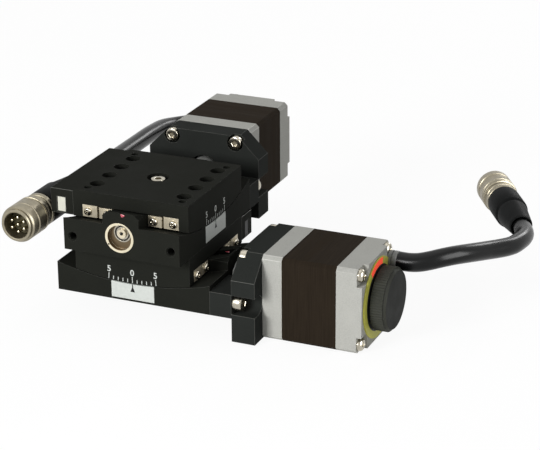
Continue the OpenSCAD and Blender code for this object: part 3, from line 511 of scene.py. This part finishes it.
def turn(work: BMesh, outline: Outline, sides: int = 72, ridges: int = 36) -> list[BMVert]:
    """Turns an outline about the Z axis into a working mesh.

    Args:
        work: Working mesh that gets the faces.
        outline: Points as radius and height in millimetres, with a section where it isn't round.
        sides: Steps of the turn.
        ridges: Ridges round the outline where its section is ridged.

    Returns:
        The new corners.
    """
    rings = []
    for radius, height, *section in outline:
        shape = section[0] if section else Section.ROUND
        if radius == 0:
            rings.append([work.verts.new((0, 0, height * MM))] * sides)
            continue
        ring = []
        for k in range(sides):
            angle = 2 * math.pi * k / sides
            r = radius * shape.reach(angle, ridges) * MM
            ring.append(work.verts.new((r * math.cos(angle), r * math.sin(angle), height * MM)))
        rings.append(ring)
    for low, high in zip(rings, rings[1:]):
        for k in range(sides):
            unique = list(dict.fromkeys([low[k - 1], low[k], high[k], high[k - 1]]))
            if len(unique) > 2:
                work.faces.new(unique)
    return list(dict.fromkeys(vert for ring in rings for vert in ring))


def plate(work: BMesh, outline: Iterable[tuple[float, float]], low: float, high: float) -> None:
    """Adds a flat plate to a working mesh.

    Args:
        work: Working mesh that gets the plate.
        outline: Corners in the plate's plane, as local Y and Z in metres.
        low: Local X of its back.
        high: Local X of its front.
    """
    corners = list(outline)
    back = [work.verts.new((low, y, z)) for y, z in corners]
    front = [work.verts.new((high, y, z)) for y, z in corners]
    work.faces.new(front)
    work.faces.new(back[::-1])
    for k in range(len(corners)):
        work.faces.new([back[k - 1], back[k], front[k], front[k - 1]])


# Screw heads and the cord gland as shares of their radius and height
DOMED_HEAD: Outline = (
    (1, 0), (1, 0.3), (0.95, 0.62), (0.84, 0.85), (0.66, 1), (0.6, 1, Section.CROSS),
    (0.52, 0.9, Section.CROSS), (0.34, 0.4, Section.CROSS), (0, 0.3),
)
SOCKET_HEAD: Outline = (
    (0.97, 0), (1, 0.04, Section.RIDGED), (1, 0.72, Section.RIDGED), (0.98, 0.78), (0.97, 0.9),
    (0.92, 0.97), (0.82, 1), (0.473, 1, Section.HEXAGON), (0.43, 0.96, Section.HEXAGON),
    (0.43, 0.46, Section.HEXAGON), (0, 0.38),
)
GROOVED_GLAND: Outline = (
    (0, 0), (1, 0), (1, 0.36), (0.86, 0.4), (0.86, 0.5), (1, 0.54), (1, 0.92), (0.95, 1), (0, 1),
)
# A head lower than this share of its radius is domed
DOMED_BELOW = 0.8
# A corner beyond this share of a screw's radius is on the head's rim
RIM_SHARE = 0.98
# Radius of a shank's flat tip and height of the slope above it, as shares of the shank's radius
TIP_RADIUS, TIP_HEIGHT = 0.8, 0.2


@dataclass(frozen=True)
class Screw:
    """One screw: where its head sits, which way the head faces, and its sizes in millimetres."""

    seat: Vector
    way: Vector
    head_radius: float
    head_height: float
    shank_radius: float
    shank_length: float
    sides: int = 48
    ridges: int = 24

    @classmethod
    def read(cls, corners: Sequence[Vector]) -> "Screw":
        """Reads a screw's place and sizes from the corners of its solid.

        Args:
            corners: Corners of one solid, in the part's frame.

        Returns:
            The screw.
        """
        low, high = Vector(map(min, *corners)), Vector(map(max, *corners))
        size, middle = high - low, (low + high) / 2
        axis = min(range(3), key=lambda i: abs(size[i - 1] - size[i - 2]))
        square = [i for i in range(3) if i != axis]
        reach = [math.hypot(*(corner[i] - middle[i] for i in square)) for corner in corners]
        widest = max(reach)
        rim = [corner[axis] for corner, r in zip(corners, reach) if r > RIM_SHARE * widest]
        upward = high[axis] - max(rim) <= min(rim) - low[axis]
        bottom, tip = (min(rim), low[axis]) if upward else (max(rim), high[axis])
        shank = max(r for corner, r in zip(corners, reach) if abs(corner[axis] - tip) < WELD)
        way = Vector((0, 0, 0))
        way[axis] = 1 if upward else -1
        seat = middle.copy()
        seat[axis] = bottom
        head_height = max(rim) - min(rim)
        return cls(seat, way, widest / MM, head_height / MM, shank / MM, abs(bottom - tip) / MM)

    def head(self) -> Outline:
        """Returns the head's outline: a low dome with a cross recess, or a ridged socket head."""
        shares = DOMED_HEAD if self.head_height < DOMED_BELOW * self.head_radius else SOCKET_HEAD
        return scaled(shares, self.head_radius, self.head_height)

    def shank(self) -> Outline:
        """Returns the shank's outline, which is one point under a head without a shank."""
        r, tip = self.shank_radius, -self.shank_length
        return [(0, tip), (TIP_RADIUS * r, tip), (r, tip + TIP_HEIGHT * r), (r, 0)] if tip else [(0, 0)]

    def add(self, work: BMesh) -> None:
        """Adds the screw to a working mesh.

        Args:
            work: Working mesh in the part's frame.
        """
        corners = turn(work, [*self.shank(), *self.head()], self.sides, self.ridges)
        place = Matrix.Translation(self.seat) @ facing(self.way)
        bmesh.ops.transform(work, matrix=place, verts=corners)


def loose_solids(mesh: Mesh) -> list[list[Vector]]:
    """Splits a mesh into its separate solids.

    Args:
        mesh: Mesh of a node that holds several solids.

    Returns:
        The corners of each solid.
    """
    work = bmesh.new()
    work.from_mesh(mesh)
    bmesh.ops.remove_doubles(work, verts=work.verts, dist=WELD)
    solids, seen = [], set()
    for first in work.verts:
        if first in seen:
            continue
        seen.add(first)
        heap, solid = [first], []
        while heap:
            vert = heap.pop()
            solid.append(vert.co.copy())
            near = [n for n in (edge.other_vert(vert) for edge in vert.link_edges) if n not in seen]
            seen.update(near)
            heap.extend(near)
        solids.append(solid)
    work.free()
    return solids


@dataclass(frozen=True)
class PhotoCamera:
    """Camera at the photograph's viewing angle: degrees, metres, and millimetres of lens and sensor."""

    azimuth: float = 23.373
    elevation: float = 21.824
    roll: float = -0.345
    distance: float = 0.62966
    target: Point = (0.03872, 0.0, 0.02466)
    lens: float = 134.0
    sensor_width: float = 36.0
    nearest: float = 0.01

    def build(self) -> Object:
        """Makes the camera and sets it as the scene's own.

        Returns:
            The camera.
        """
        aside, rise = math.radians(self.azimuth), math.radians(self.elevation)
        level = math.cos(rise)
        back = Vector((math.sin(aside) * level, -math.cos(aside) * level, math.sin(rise)))
        data = bpy.data.cameras.new("photo_camera")
        data.lens = self.lens
        data.sensor_width = self.sensor_width
        data.clip_start = self.nearest
        camera = link("photo_camera", data)
        camera.location = Vector(self.target) + self.distance * back
        aim = (-back).to_track_quat("-Z", "Y").to_matrix().to_4x4()
        camera.rotation_euler = (aim @ Matrix.Rotation(math.radians(self.roll), 4, "Z")).to_euler()
        bpy.context.scene.camera = camera
        return camera


@dataclass(frozen=True)
class Softbox:
    """One square soft studio lamp, or a panel that shows in reflections only."""

    name: str
    place: Point
    size: float
    power: float
    gloss_only: bool = False

    def build(self, target: Vector) -> None:
        """Makes the lamp.

        Args:
            target: Point that it faces.
        """
        data = bpy.data.lights.new(self.name, "AREA")
        data.size = self.size
        data.energy = self.power
        lamp = link(self.name, data)
        lamp.location = self.place
        lamp.rotation_euler = (target - Vector(self.place)).to_track_quat("-Z", "Y").to_euler()
        lamp.visible_diffuse = not self.gloss_only


@dataclass(frozen=True)
class Studio:
    """White floor, white surroundings and soft lamps."""

    lamps: tuple[Softbox, ...] = (
        Softbox("front", (-0.28, -0.8, 0.33), 0.32, 6.5),
        Softbox("side", (0.62, 0.1, 0.2), 0.09, 0.12),
        Softbox("panel", (0.6, -0.12, 0.24), 0.5, 6.0, gloss_only=True),
        Softbox("overhead", (-0.1, 0.1, 0.75), 0.6, 0.6),
        Softbox("back", (0.2, 0.85, 0.4), 0.22, 1.2),
    )
    ambient: float = 0.3
    floor_gap: float = 0.0004
    floor_half: float = 3.0
    floor_colour: Colour = (0.9, 0.9, 0.9)
    floor_roughness: float = 0.9
    floor_glow: float = 1.04
    shadow_share: float = 0.12

    def build(self) -> None:
        """Makes the lamps, the world and the floor."""
        low, high = CAD_BOX
        centre = (low + high) / 2
        for lamp in self.lamps:
            lamp.build(centre)
        self.build_world()
        self.build_floor(low.z - self.floor_gap)

    def build_world(self) -> None:
        """Makes surroundings that are white to the camera and in reflections, and dimmer as light."""
        world = bpy.data.worlds.new("studio")
        bpy.context.scene.world = world
        world.use_nodes = True
        tree = world.node_tree
        strength = tree.nodes.new("ShaderNodeMapRange")
        strength.inputs["To Min"].default_value = self.ambient
        background = tree.nodes["Background"]
        background.inputs["Color"].default_value = (1, 1, 1, 1)
        tree.links.new(self.seen_rays(tree), strength.inputs["Value"])
        tree.links.new(strength.outputs["Result"], background.inputs["Strength"])

    def seen_rays(self, tree: NodeTree) -> NodeSocket:
        """Tells rays of the camera, of reflections and of transmission from the rest.

        Args:
            tree: Node tree that gets the nodes.

        Returns:
            A socket that gives 1 for those rays and 0 for the rest.
        """
        path = tree.nodes.new("ShaderNodeLightPath")
        seen = path.outputs["Is Camera Ray"]
        for ray in ("Is Glossy Ray", "Is Transmission Ray"):
            either = tree.nodes.new("ShaderNodeMath")
            either.operation = "MAXIMUM"
            tree.links.new(seen, either.inputs[0])
            tree.links.new(path.outputs[ray], either.inputs[1])
            seen = either.outputs[0]
        return seen

    def build_floor(self, height: float) -> None:
        """Makes the floor, which glows white to the camera and keeps a share of the shadow.

        Args:
            height: Its height in the part's frame.
        """
        half = self.floor_half
        mesh = bpy.data.meshes.new("floor")
        square = ((-half, -half), (half, -half), (half, half), (-half, half))
        mesh.from_pydata([(x, y, height) for x, y in square], [], [(0, 1, 2, 3)])
        floor = link("floor", mesh)
        graph = Graph("floor_white")
        graph.feed(graph.shader.inputs["Base Color"], self.floor_colour)
        graph.feed(graph.shader.inputs["Roughness"], self.floor_roughness)
        glow = graph.add("ShaderNodeEmission", {"Color": (1, 1, 1), "Strength": self.floor_glow})
        rays = {"Value": self.seen_rays(graph.tree), "To Max": 1 - self.shadow_share}
        share = graph.add("ShaderNodeMapRange", rays).outputs["Result"]
        sides = {0: share, 1: graph.shader.outputs[0], 2: glow.outputs[0]}
        blend = graph.add("ShaderNodeMixShader", sides)
        graph.feed(graph.tree.nodes["Material Output"].inputs["Surface"], blend.outputs[0])
        mesh.materials.append(graph.material)


# Outlines of the plug's pieces, from its rear end at height 0 to its face
PLUG_SLEEVE: Outline = (
    (3.05, 1.6), (3.05, 0.6), (3.25, 0.15), (3.5, 0.0), (3.75, 0.1), (3.88, 0.5), (3.95, 1.0),
    (4.5, 6.0), (4.95, 9.6), (5.1, 11.0), (5.1, 11.4), (4.95, 11.6), (4.95, 11.9), (5.25, 12.2),
    (5.6, 12.8), (5.6, 22.3), (5.5, 23.1), (5.0, 23.5),
)
PLUG_BARREL: Outline = (
    (4.9, 23.5), (5.4, 23.5), (5.6, 23.7), (5.6, 24.9), (5.45, 25.1), (5.15, 25.2), (5.15, 25.7),
    (5.45, 25.8), (5.6, 26.0), (5.6, 27.15), (5.45, 27.4), (5.0, 27.4), (5.0, 38.1), (5.25, 38.15),
    (5.3, 38.3), (5.3, 38.7), (5.1, 39.0), (4.6, 39.0), (4.35, 38.8), (4.3, 38.4), (4.3, 33.8),
)
PLUG_GRIP: Outline = (
    (5.07, 27.5), (5.6, 27.5), (5.9, 27.7), (6.0, 28.0), (6.0, 29.0), (5.7, 29.1), (5.7, 29.5),
    (6.0, 29.7), (6.0, 30.1, Section.RIDGED), (6.0, 33.6, Section.RIDGED), (6.0, 34.0), (5.75, 34.2),
    (5.75, 34.6), (6.0, 34.8), (6.0, 37.2), (5.85, 37.7), (5.5, 38.0), (5.07, 38.0), (5.07, 27.5),
)
PLUG_INSERT: Outline = ((0, 33.1), (4.28, 33.1), (4.28, 33.8), (4.1, 34.0), (0, 34.0))
PLUG_PIN: Outline = ((0, 33.5), (0.5, 33.5), (0.5, 37.4), (0.36, 37.8), (0, 38.0))


@dataclass(frozen=True)
class RoundPlug:
    """Round plug: black sleeve, nickel shell, turning ring, insulator and pins, along its own axis."""

    unit: str
    body: str
    sides: int = 72
    grip_ridges: int = 36
    pin_circle: float = 2.4
    pin_sides: int = 16
    pins: int = 6

    @property
    def place(self) -> Matrix:
        """Where the plug's frame lies: its rear end at the origin and its face toward +Z."""
        hinge = joint(f"{self.unit}_plug_ring_turn")
        return Matrix.Translation(Vector(hinge["pos_m"])) @ facing(Vector(hinge["axis"]))

    def lathe(self, part: str, outline: Outline, finish: Finish, body: str) -> Object:
        """Makes one turned piece of the plug.

        Args:
            part: Short name of the piece.
            outline: Outline to turn, in millimetres.
            finish: Finish of the piece.
            body: Body that it moves with.

        Returns:
            The new piece.
        """
        work = bmesh.new()
        turn(work, outline, self.sides, self.grip_ridges)
        name = f"{self.unit}_plug_{part}"
        return new_piece(name, mesh_from(name, work, self.place), finish, body)

    def build(self) -> list[Object]:
        """Makes the plug's pieces.

        Returns:
            The pieces.
        """
        sleeve = self.lathe("sleeve", PLUG_SLEEVE, SLEEVE, self.body)
        shell = self.lathe("barrel", PLUG_BARREL, PLUG_METAL, self.body)
        ring = self.lathe("grip_ring", PLUG_GRIP, PLUG_METAL, f"{self.unit}_plug_coupling")
        insert = self.lathe("insulator", PLUG_INSERT, INSULATOR, self.body)
        pins = self.build_pins()
        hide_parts(f"{self.unit}_plug_backshell")
        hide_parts(f"{self.unit}_plug_shell")
        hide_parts(f"{self.unit}_plug_ring")
        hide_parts(f"{self.unit}_plug_contacts")
        return [sleeve, shell, ring, insert, pins]

    def build_pins(self) -> Object:
        """Makes the contacts: one in the middle and a circle of the others.

        Returns:
            The contacts.
        """
        work = bmesh.new()
        outermost = Vector((self.pin_circle * MM, 0, 0))
        turns = [Matrix.Rotation(2 * math.pi * k / self.pins, 3, "Z") for k in range(self.pins)]
        for spot in (Vector((0, 0, 0)), *(way @ outermost for way in turns)):
            bmesh.ops.translate(work, vec=spot, verts=turn(work, PLUG_PIN, self.pin_sides))
        name = f"{self.unit}_plug_pins"
        return new_piece(name, mesh_from(name, work, self.place), CONTACT, self.body)


def halfway(a: Vector, b: Vector, c: Vector, d: Vector) -> Vector:
    """Returns the point between b and c on the cubic through four points in a row."""
    return (9 * (b + c) - a - d) / 16


@dataclass(frozen=True)
class MotorCord:
    """A motor's cord, from the gland to its plug, along listed points in millimetres."""

    unit: str
    body: str
    gland_way: Point
    length: float
    points: tuple[Point, ...]
    diameter: float = 0.006
    lead_out: float = 0.003
    lead_in: float = 0.003
    round_steps: int = 8
    steps: int = 10

    def route(self) -> list[Vector]:
        """Lays the cord straight out of the gland, through its points and straight into the plug.

        Returns:
            The cord's points in metres.
        """
        low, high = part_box(f"{self.unit}_cord_gland")
        middle, way = (low + high) / 2, Vector(self.gland_way)
        start = middle + way * (high - middle).dot(way)
        hinge = joint(f"{self.unit}_plug_ring_turn")
        end, into = Vector(hinge["pos_m"]), Vector(hinge["axis"])
        between = [Vector(p) * MM for p in self.points]
        rough = [start, start + way * self.lead_out, *between, end - into * self.lead_in, end]
        route = rough[:2]
        for four in zip(rough, rough[1:], rough[2:], rough[3:]):
            route += [halfway(*four), four[2]]
        return [*route, end]

    def build(self, plug: list[Object]) -> Object:
        """Makes the cord.

        Args:
            plug: The pieces of its plug; not used.

        Returns:
            The cord.
        """
        route = self.route()
        curve = bpy.data.curves.new(f"{self.unit}_motor_cord", "CURVE")
        curve.dimensions = "3D"
        curve.bevel_depth = self.diameter / 2
        curve.bevel_resolution = self.round_steps
        curve.resolution_u = self.steps
        curve.use_fill_caps = True
        spline = curve.splines.new("BEZIER")
        spline.bezier_points.add(len(route) - 1)
        for k, (knot, spot) in enumerate(zip(spline.bezier_points, route)):
            before = route[k - 1] if k else 2 * spot - route[1]
            after = route[k + 1] if k + 1 < len(route) else 2 * spot - route[-2]
            handle = (after - before) / 6
            knot.co = spot
            knot.handle_left_type = knot.handle_right_type = "FREE"
            knot.handle_left = spot - handle
            knot.handle_right = spot + handle
        curve.materials.append(material_of(JACKET))
        cord = link(f"{self.unit}_motor_cord", curve)
        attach(cord, self.body)
        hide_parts(f"{self.unit}_cord")
        LOG.info("made %s on %s", cord.name, self.body)
        return cord


# Height of a digit as a share of its font's size
DIGIT_SHARE = 0.7
# Centre hole in the worm shaft's end, a black disc of painted shade, and the shield's outline beside the
# bearing's inner ring
CENTRE_HOLE: Outline = ((0, -0.02), (0.5, -0.02), (0.5, 0.02), (0, 0.02))
BEARING_SHIELD: Outline = ((0, -0.05), (0.35, -0.05), (0.35, -0.3), (0, -0.3), (0, -0.05))


@dataclass(frozen=True)
class TiltUnit:
    """One goniometer unit, drawn in its own frame: motor toward +Y, scale on +X, z = 0 under its base."""

    name: str
    place: Matrix
    motor_axis: int
    fixed: str
    moving: str
    seal_at: Point
    seal_way: Point
    sensor: Finish
    paint_rise: float = 0.000015
    paint_sink: float = 0.00002
    # Share of the table's half width beyond which sunk screws get the painted shade
    shaded_beyond: float = 0.3
    scale_reach: int = 5
    scale_margin: float = 0.00025
    tick_width: float = 0.00024
    tick_short: float = 0.0012
    tick_long: float = 0.002
    digit_height: float = 0.002
    digit_gap: float = 0.00045
    digit_weight: float = 0.00004
    arrow_margin: float = 0.0003
    arrow_length: float = 0.0017
    arrow_half: float = 0.0008
    arrow_overlap: float = 0.0002
    stem_length: float = 0.0009
    stem_half: float = 0.00018
    seal_radius: float = 0.00055
    seal_shape: Point = (1.3, 0.9, 0.25)
    seal_lobes: int = 3
    seal_wave: float = 0.18
    seal_phase: float = 0.7
    seal_sides: int = 24
    seal_steps: int = 12
    seal_sharp: float = 80.0
    dial_inner: float = 0.006
    dial_margin: float = 0.0003
    sector_degrees: tuple[float, float] = (76, 124)
    sector_steps: int = 16
    # Reach of the knob's painted shadow beyond the knob's radius
    shadow_margin: float = 0.00035
    hole_sides: int = 24
    shield_sides: int = 48

    def node(self, part: str) -> Object:
        """Returns the frame's node of this unit."""
        return frame["nodes"][f"{self.name}_{part}"]

    def box(self, part: str) -> tuple[Vector, Vector]:
        """Gives a node's box in the unit's own frame.

        Args:
            part: Name of the node in this unit.

        Returns:
            Its lowest and its highest corner.
        """
        back = self.place.inverted()
        corners = [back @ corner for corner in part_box(f"{self.name}_{part}")]
        return Vector(map(min, *corners)), Vector(map(max, *corners))

    def radius(self, part: str) -> float:
        """Returns the radius of a round node that lies along the motor's axis."""
        low, high = self.box(part)
        return (high.x - low.x) / 2

    def on_axis(self, part: str, along: float, sign: int = 1) -> Matrix:
        """Gives a frame on the axis of a round node.

        Args:
            part: Name of the node in this unit.
            along: Local Y of the frame's origin.
            sign: 1 where the frame's +Z points along local +Y, and -1 where it points the other way.

        Returns:
            Where the frame lies in the part.
        """
        low, high = self.box(part)
        middle = (low + high) / 2
        return self.place @ Matrix.Translation((middle.x, along, middle.z)) @ facing(Vector((0, sign, 0)))

    def dress(self) -> None:
        """Gives every solid that stays its finish and rounds its edges."""
        sensors = {"limit_sensors": Dressing(self.sensor, SENSOR_EDGE)}
        for part, dressing in (DRESSINGS | sensors).items():
            piece = self.node(part)
            finish = dressing.finish
            if finish in DIRECTED:
                finish = finish.along(self.motor_axis)
            piece.data.materials.clear()
            for layer in (finish, dressing.edge or finish, dressing.ends or finish):
                piece.data.materials.append(material_of(layer))
            if dressing.ends:
                self.mark_ends(piece)
            piece.data.shade_smooth()
            round_edges(piece, dressing.edge_width, EDGE_SLOT if dressing.edge else -1)
            LOG.info("dressed %s", piece.name)
        self.build_screws("frame_screws", self.fixed)
        self.build_screws("table_screws", self.moving)

    def mark_ends(self, piece: Object) -> None:
        """Gives the faces at both ends of a piece, along the motor's axis, the material of the ends.

        Args:
            piece: Mesh object.
        """
        along = [vert.co[self.motor_axis] for vert in piece.data.vertices]
        for face in piece.data.polygons:
            spots = [along[v] for v in face.vertices]
            if min(spots) > max(along) - END_DEPTH or max(spots) < min(along) + END_DEPTH:
                face.material_index = ENDS_SLOT

    def build_screws(self, part: str, body: str) -> Object:
        """Makes the screws of one node, those sunk in the table's two rows of counterbores painted black
        as their shade.

        Args:
            part: Name of the node in this unit.
            body: Body that the screws move with.

        Returns:
            The screws.
        """
        work = bmesh.new()
        back = self.place.inverted()
        row = self.shaded_beyond * self.box("table")[1].x
        for solid in loose_solids(self.node(part).data):
            screw = Screw.read(solid)
            before = len(work.faces)
            screw.add(work)
            if part == "table_screws" and screw.way.z > 0 and abs((back @ screw.seat).x) > row:
                for face in list(work.faces)[before:]:
                    face.material_index = 1
        name = f"{self.name}_{part.replace('screws', 'screw_set')}"
        piece = new_piece(name, mesh_from(name, work, Matrix()), NICKEL, body)
        piece.data.materials.append(material_of(SHADE_BLACK))
        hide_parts(f"{self.name}_{part}")
        return piece

    @property
    def tilt_height(self) -> float:
        """Height of the tilt centre in the unit's own frame."""
        centre = Vector(joint(f"{self.name}_tilt")["pos_m"])
        return (self.place.inverted() @ centre).z

    def on_arc(self, radius: float, angle: float, aside: float = 0.0) -> tuple[float, float]:
        """Gives a point on an arc about the tilt centre.

        Args:
            radius: Distance from the tilt centre.
            angle: Angle from straight down, in degrees.
            aside: Distance square to the radius.

        Returns:
            Local Y and Z of the point.
        """
        a = math.radians(angle)
        return (radius * math.sin(a) + aside * math.cos(a),
                self.tilt_height - radius * math.cos(a) + aside * math.sin(a))

    def build_scale(self) -> Object:
        """Makes the white ticks and numbers on the table's skirt.

        Returns:
            The scale.
        """
        low, high = self.box("table")
        edge = self.tilt_height - low.z - self.scale_margin
        back, front = high.x - self.paint_sink, high.x + self.paint_rise
        half = self.tick_width / 2
        work = bmesh.new()
        for degree in range(-self.scale_reach, self.scale_reach + 1):
            long = degree % self.scale_reach == 0
            top = edge - (self.tick_long if long else self.tick_short)
            ends = ((edge, -half), (edge, half), (top, half), (top, -half))
            plate(work, [self.on_arc(radius, degree, side) for radius, side in ends], back, front)
            if long:
                foot = self.on_arc(top - self.digit_gap, degree)
                self.add_number(work, abs(degree), foot, back, front)
        name = f"{self.name}_scale"
        scale = new_piece(name, mesh_from(name, work, self.place), WHITE, self.moving)
        return scale

    def add_number(self, work: BMesh, number: int, foot: tuple[float, float], back: float,
                   front: float) -> None:
        """Adds a plain number to a working mesh.

        Args:
            work: Working mesh.
            number: The number.
            foot: Local Y and Z of the middle of its foot.
            back: Local X of its back.
            front: Local X of its front.
        """
        text = bpy.data.curves.new("number", "FONT")
        text.body = str(number)
        text.align_x = "CENTER"
        text.size = self.digit_height / DIGIT_SHARE
        text.extrude = (front - back) / 2
        text.offset = self.digit_weight
        holder = link("number", text)
        graph = bpy.context.evaluated_depsgraph_get()
        mesh = bpy.data.meshes.new_from_object(holder.evaluated_get(graph))
        middle, (y, z) = (front + back) / 2, foot
        mesh.transform(Matrix(((0, 0, 1, middle), (1, 0, 0, y), (0, 1, 0, z), (0, 0, 0, 1))))
        work.from_mesh(mesh)
        bpy.data.objects.remove(holder)
        bpy.data.meshes.remove(mesh)

    def build_pointer(self) -> Object:
        """Makes the black arrow on the pointer plate, its stem reaching the plate's top edge.

        Returns:
            The arrow.
        """
        face = self.box("pointer_plate")[1].x
        back, front = face - self.paint_sink, face + self.paint_rise
        top = self.box("table")[0].z - self.arrow_margin
        neck = top - self.stem_length
        foot, middle = neck - self.arrow_length, neck - self.arrow_length / 2
        thin, wide = self.stem_half, self.arrow_half
        work = bmesh.new()
        plate(work, [(-thin, middle), (thin, middle), (thin, top), (-thin, top)], back, front)
        plate(work, [(-wide, foot), (wide, foot), (0, neck + self.arrow_overlap)], back,
              front + self.paint_rise / 2)
        name = f"{self.name}_pointer_arrow"
        return new_piece(name, mesh_from(name, work, self.place), BLACK_INK_AND_SHADE, self.fixed)

    def build_seal(self) -> Object:
        """Makes the dab of sealing paint on the tongue, a ball that is flattened and bent.

        Returns:
            The dab.
        """
        radius = self.seal_radius / MM
        angles = [math.pi * k / self.seal_steps for k in range(1, self.seal_steps)]
        arc = [(radius * math.sin(a), -radius * math.cos(a)) for a in angles]
        work = bmesh.new()
        turn(work, [(0, -radius), *arc, (0, radius)], self.seal_sides)
        long, wide, high = self.seal_shape
        for vert in work.verts:
            x, y, z = vert.co
            bend = 1 + self.seal_wave * math.sin(self.seal_lobes * math.atan2(y, x) + self.seal_phase)
            vert.co = Vector((x * bend * long, y * bend * wide, z * high))
        name = f"{self.name}_sealing_paint"
        place = Matrix.Translation(Vector(self.seal_at)) @ facing(Vector(self.seal_way), "Y")
        return new_piece(name, mesh_from(name, work, place, self.seal_sharp), SEAL, self.fixed)

    def build_dial_sector(self) -> Object:
        """Makes the red sector printed on the dial plate.

        Returns:
            The sector.
        """
        low, high = self.box("dial_plate")
        middle = (low + high) / 2
        outer, inner = self.radius("dial_plate") - self.dial_margin, self.dial_inner
        (start, end), steps = self.sector_degrees, self.sector_steps
        angles = [math.radians(start + (end - start) * k / steps) for k in range(steps + 1)]
        rim = [(outer, a) for a in angles] + [(inner, a) for a in reversed(angles)]
        corners = [(r * math.cos(a), r * math.sin(a)) for r, a in rim]
        work = bmesh.new()
        plate(work, corners, -self.paint_sink, 2 * self.paint_rise)
        face = Matrix(((0, -1, 0, middle.x), (1, 0, 0, high.y), (0, 0, 1, middle.z), (0, 0, 0, 1)))
        name = f"{self.name}_dial_sector"
        sector = new_piece(name, mesh_from(name, work, self.place @ face), SIGNAL_GLOWING, self.fixed)
        return sector

    def build_dial_ring(self) -> Object:
        """Makes a painted shadow of the knob on the dial plate: a black ring behind the knob, over the red
        sector.

        Returns:
            The painted shadow.
        """
        inner, outer = self.dial_inner / MM, (self.radius("knob") + self.shadow_margin) / MM
        low, high = -self.paint_sink / MM, 3 * self.paint_rise / MM
        work = bmesh.new()
        # A black ring of painted shadow: the knob's shadow on the dial
        turn(work, [(inner, low), (outer, low), (outer, high), (inner, high), (inner, low)])
        name = f"{self.name}_dial_ring"
        place = self.on_axis("dial_plate", self.box("dial_plate")[1].y)
        ring = new_piece(name, mesh_from(name, work, place), BLACK_INK_AND_SHADE, self.fixed)
        return ring

    def build_gland(self) -> Object:
        """Makes the gland where the cord leaves the motor, with a groove round it.

        Returns:
            The gland.
        """
        low, high = self.box("cord_gland")
        work = bmesh.new()
        turn(work, scaled(GROOVED_GLAND, self.radius("cord_gland") / MM, (high.y - low.y) / MM))
        name = f"{self.name}_grooved_gland"
        place = self.on_axis("cord_gland", low.y)
        gland = new_piece(name, mesh_from(name, work, place), GLAND, self.fixed)
        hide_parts(f"{self.name}_cord_gland")
        return gland

    def build_shaft_end(self) -> Object:
        """Makes a black disc of painted shade for the centre hole in the worm shaft's outer end, and the
        shield round it.

        Returns:
            The hole and the shield.
        """
        end = self.box("worm_shaft")[0].y
        inset = (self.box("bearing_inner_rings")[0].y - end) / MM
        ring = self.radius("bearing_inner_rings") / MM
        work = bmesh.new()
        turn(work, CENTRE_HOLE, self.hole_sides)
        turn(work, [(ring + r, h - inset) for r, h in BEARING_SHIELD], self.shield_sides)
        name = f"{self.name}_shaft_end"
        place = self.on_axis("worm_shaft", end, -1)
        return new_piece(name, mesh_from(name, work, place), BLACK_INK_AND_SHADE, self.fixed)

    def build(self) -> None:
        """Dresses the unit's solids and makes its marks."""
        self.dress()
        self.build_gland()
        self.build_shaft_end()
        self.build_scale()
        self.build_pointer()
        self.build_seal()
        self.build_dial_sector()
        self.build_dial_ring()


LOWER_CORD = MotorCord("lower", "lower_frame", (1, 0, 0), 0.0643, (
    (84, 11.1, 14.9), (87.3, 12.1, 15.6), (90.6, 14.1, 16.3), (93.8, 17.2, 16.5), (96.6, 21.4, 16),
    (98.9, 25.9, 15.2), (100.7, 29.7, 14.5), (102.6, 33.3, 13.9), (104.5, 36.9, 13.4),
    (105.9, 40.5, 13), (106.6, 44.4, 12.8), (106.8, 48.5, 12.5), (106.3, 52.6, 12.2),
))
# The loop behind the upper motor keeps low enough for the motor to hide it from the camera
UPPER_CORD = MotorCord("upper", "middle_stage", (0, 1, 0), 0.1244, (
    (-10.77, 82.46, 33.47), (-11.1, 85.88, 32.34), (-12.21, 89.43, 30.32), (-14.28, 92.25, 27.84),
    (-17.41, 94.14, 25.02), (-22.05, 94.96, 22.33), (-27.41, 94.05, 20.74), (-32.55, 90.99, 20.23),
    (-36.12, 86, 20.56), (-37.5, 79.6, 21.6), (-37.4, 73, 22.3), (-37.1, 65.8, 22.8), (-36.8, 58, 23),
    (-36.4, 49, 23.3), (-35.7, 39.6, 23.8), (-35, 29.6, 24.4), (-34.4, 19.4, 24.9),
), lead_out=0.0016)


def main() -> None:
    """Builds the scene in order and reports each piece."""
    logging.basicConfig(level=logging.INFO, format="%(name)s: %(message)s")
    bpy.context.scene.view_settings.view_transform = "Standard"
    PhotoCamera().build()
    for cord in (LOWER_CORD, UPPER_CORD):
        cord.build(RoundPlug(cord.unit, cord.body).build())
    quarter_turn = Matrix.Rotation(-math.pi / 2, 4, "Z")
    on_lower_table = Matrix.Translation((0, 0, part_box("lower_table")[1].z))
    # The lower unit's limit sensors are painted black as painted shade
    TiltUnit("lower", quarter_turn, motor_axis=0, fixed="lower_frame", moving="middle_stage",
             seal_at=(0.024, 0.0, 0.0132), seal_way=(0, 0, 1), sensor=SHADE_BLACK).build()
    TiltUnit("upper", on_lower_table, motor_axis=1, fixed="middle_stage", moving="top_stage",
             seal_at=(0.0008, -0.02675, 0.0318), seal_way=(0, -1, 0), sensor=SENSOR).build()
    Studio().build()


if __name__ == "__main__":
    main()
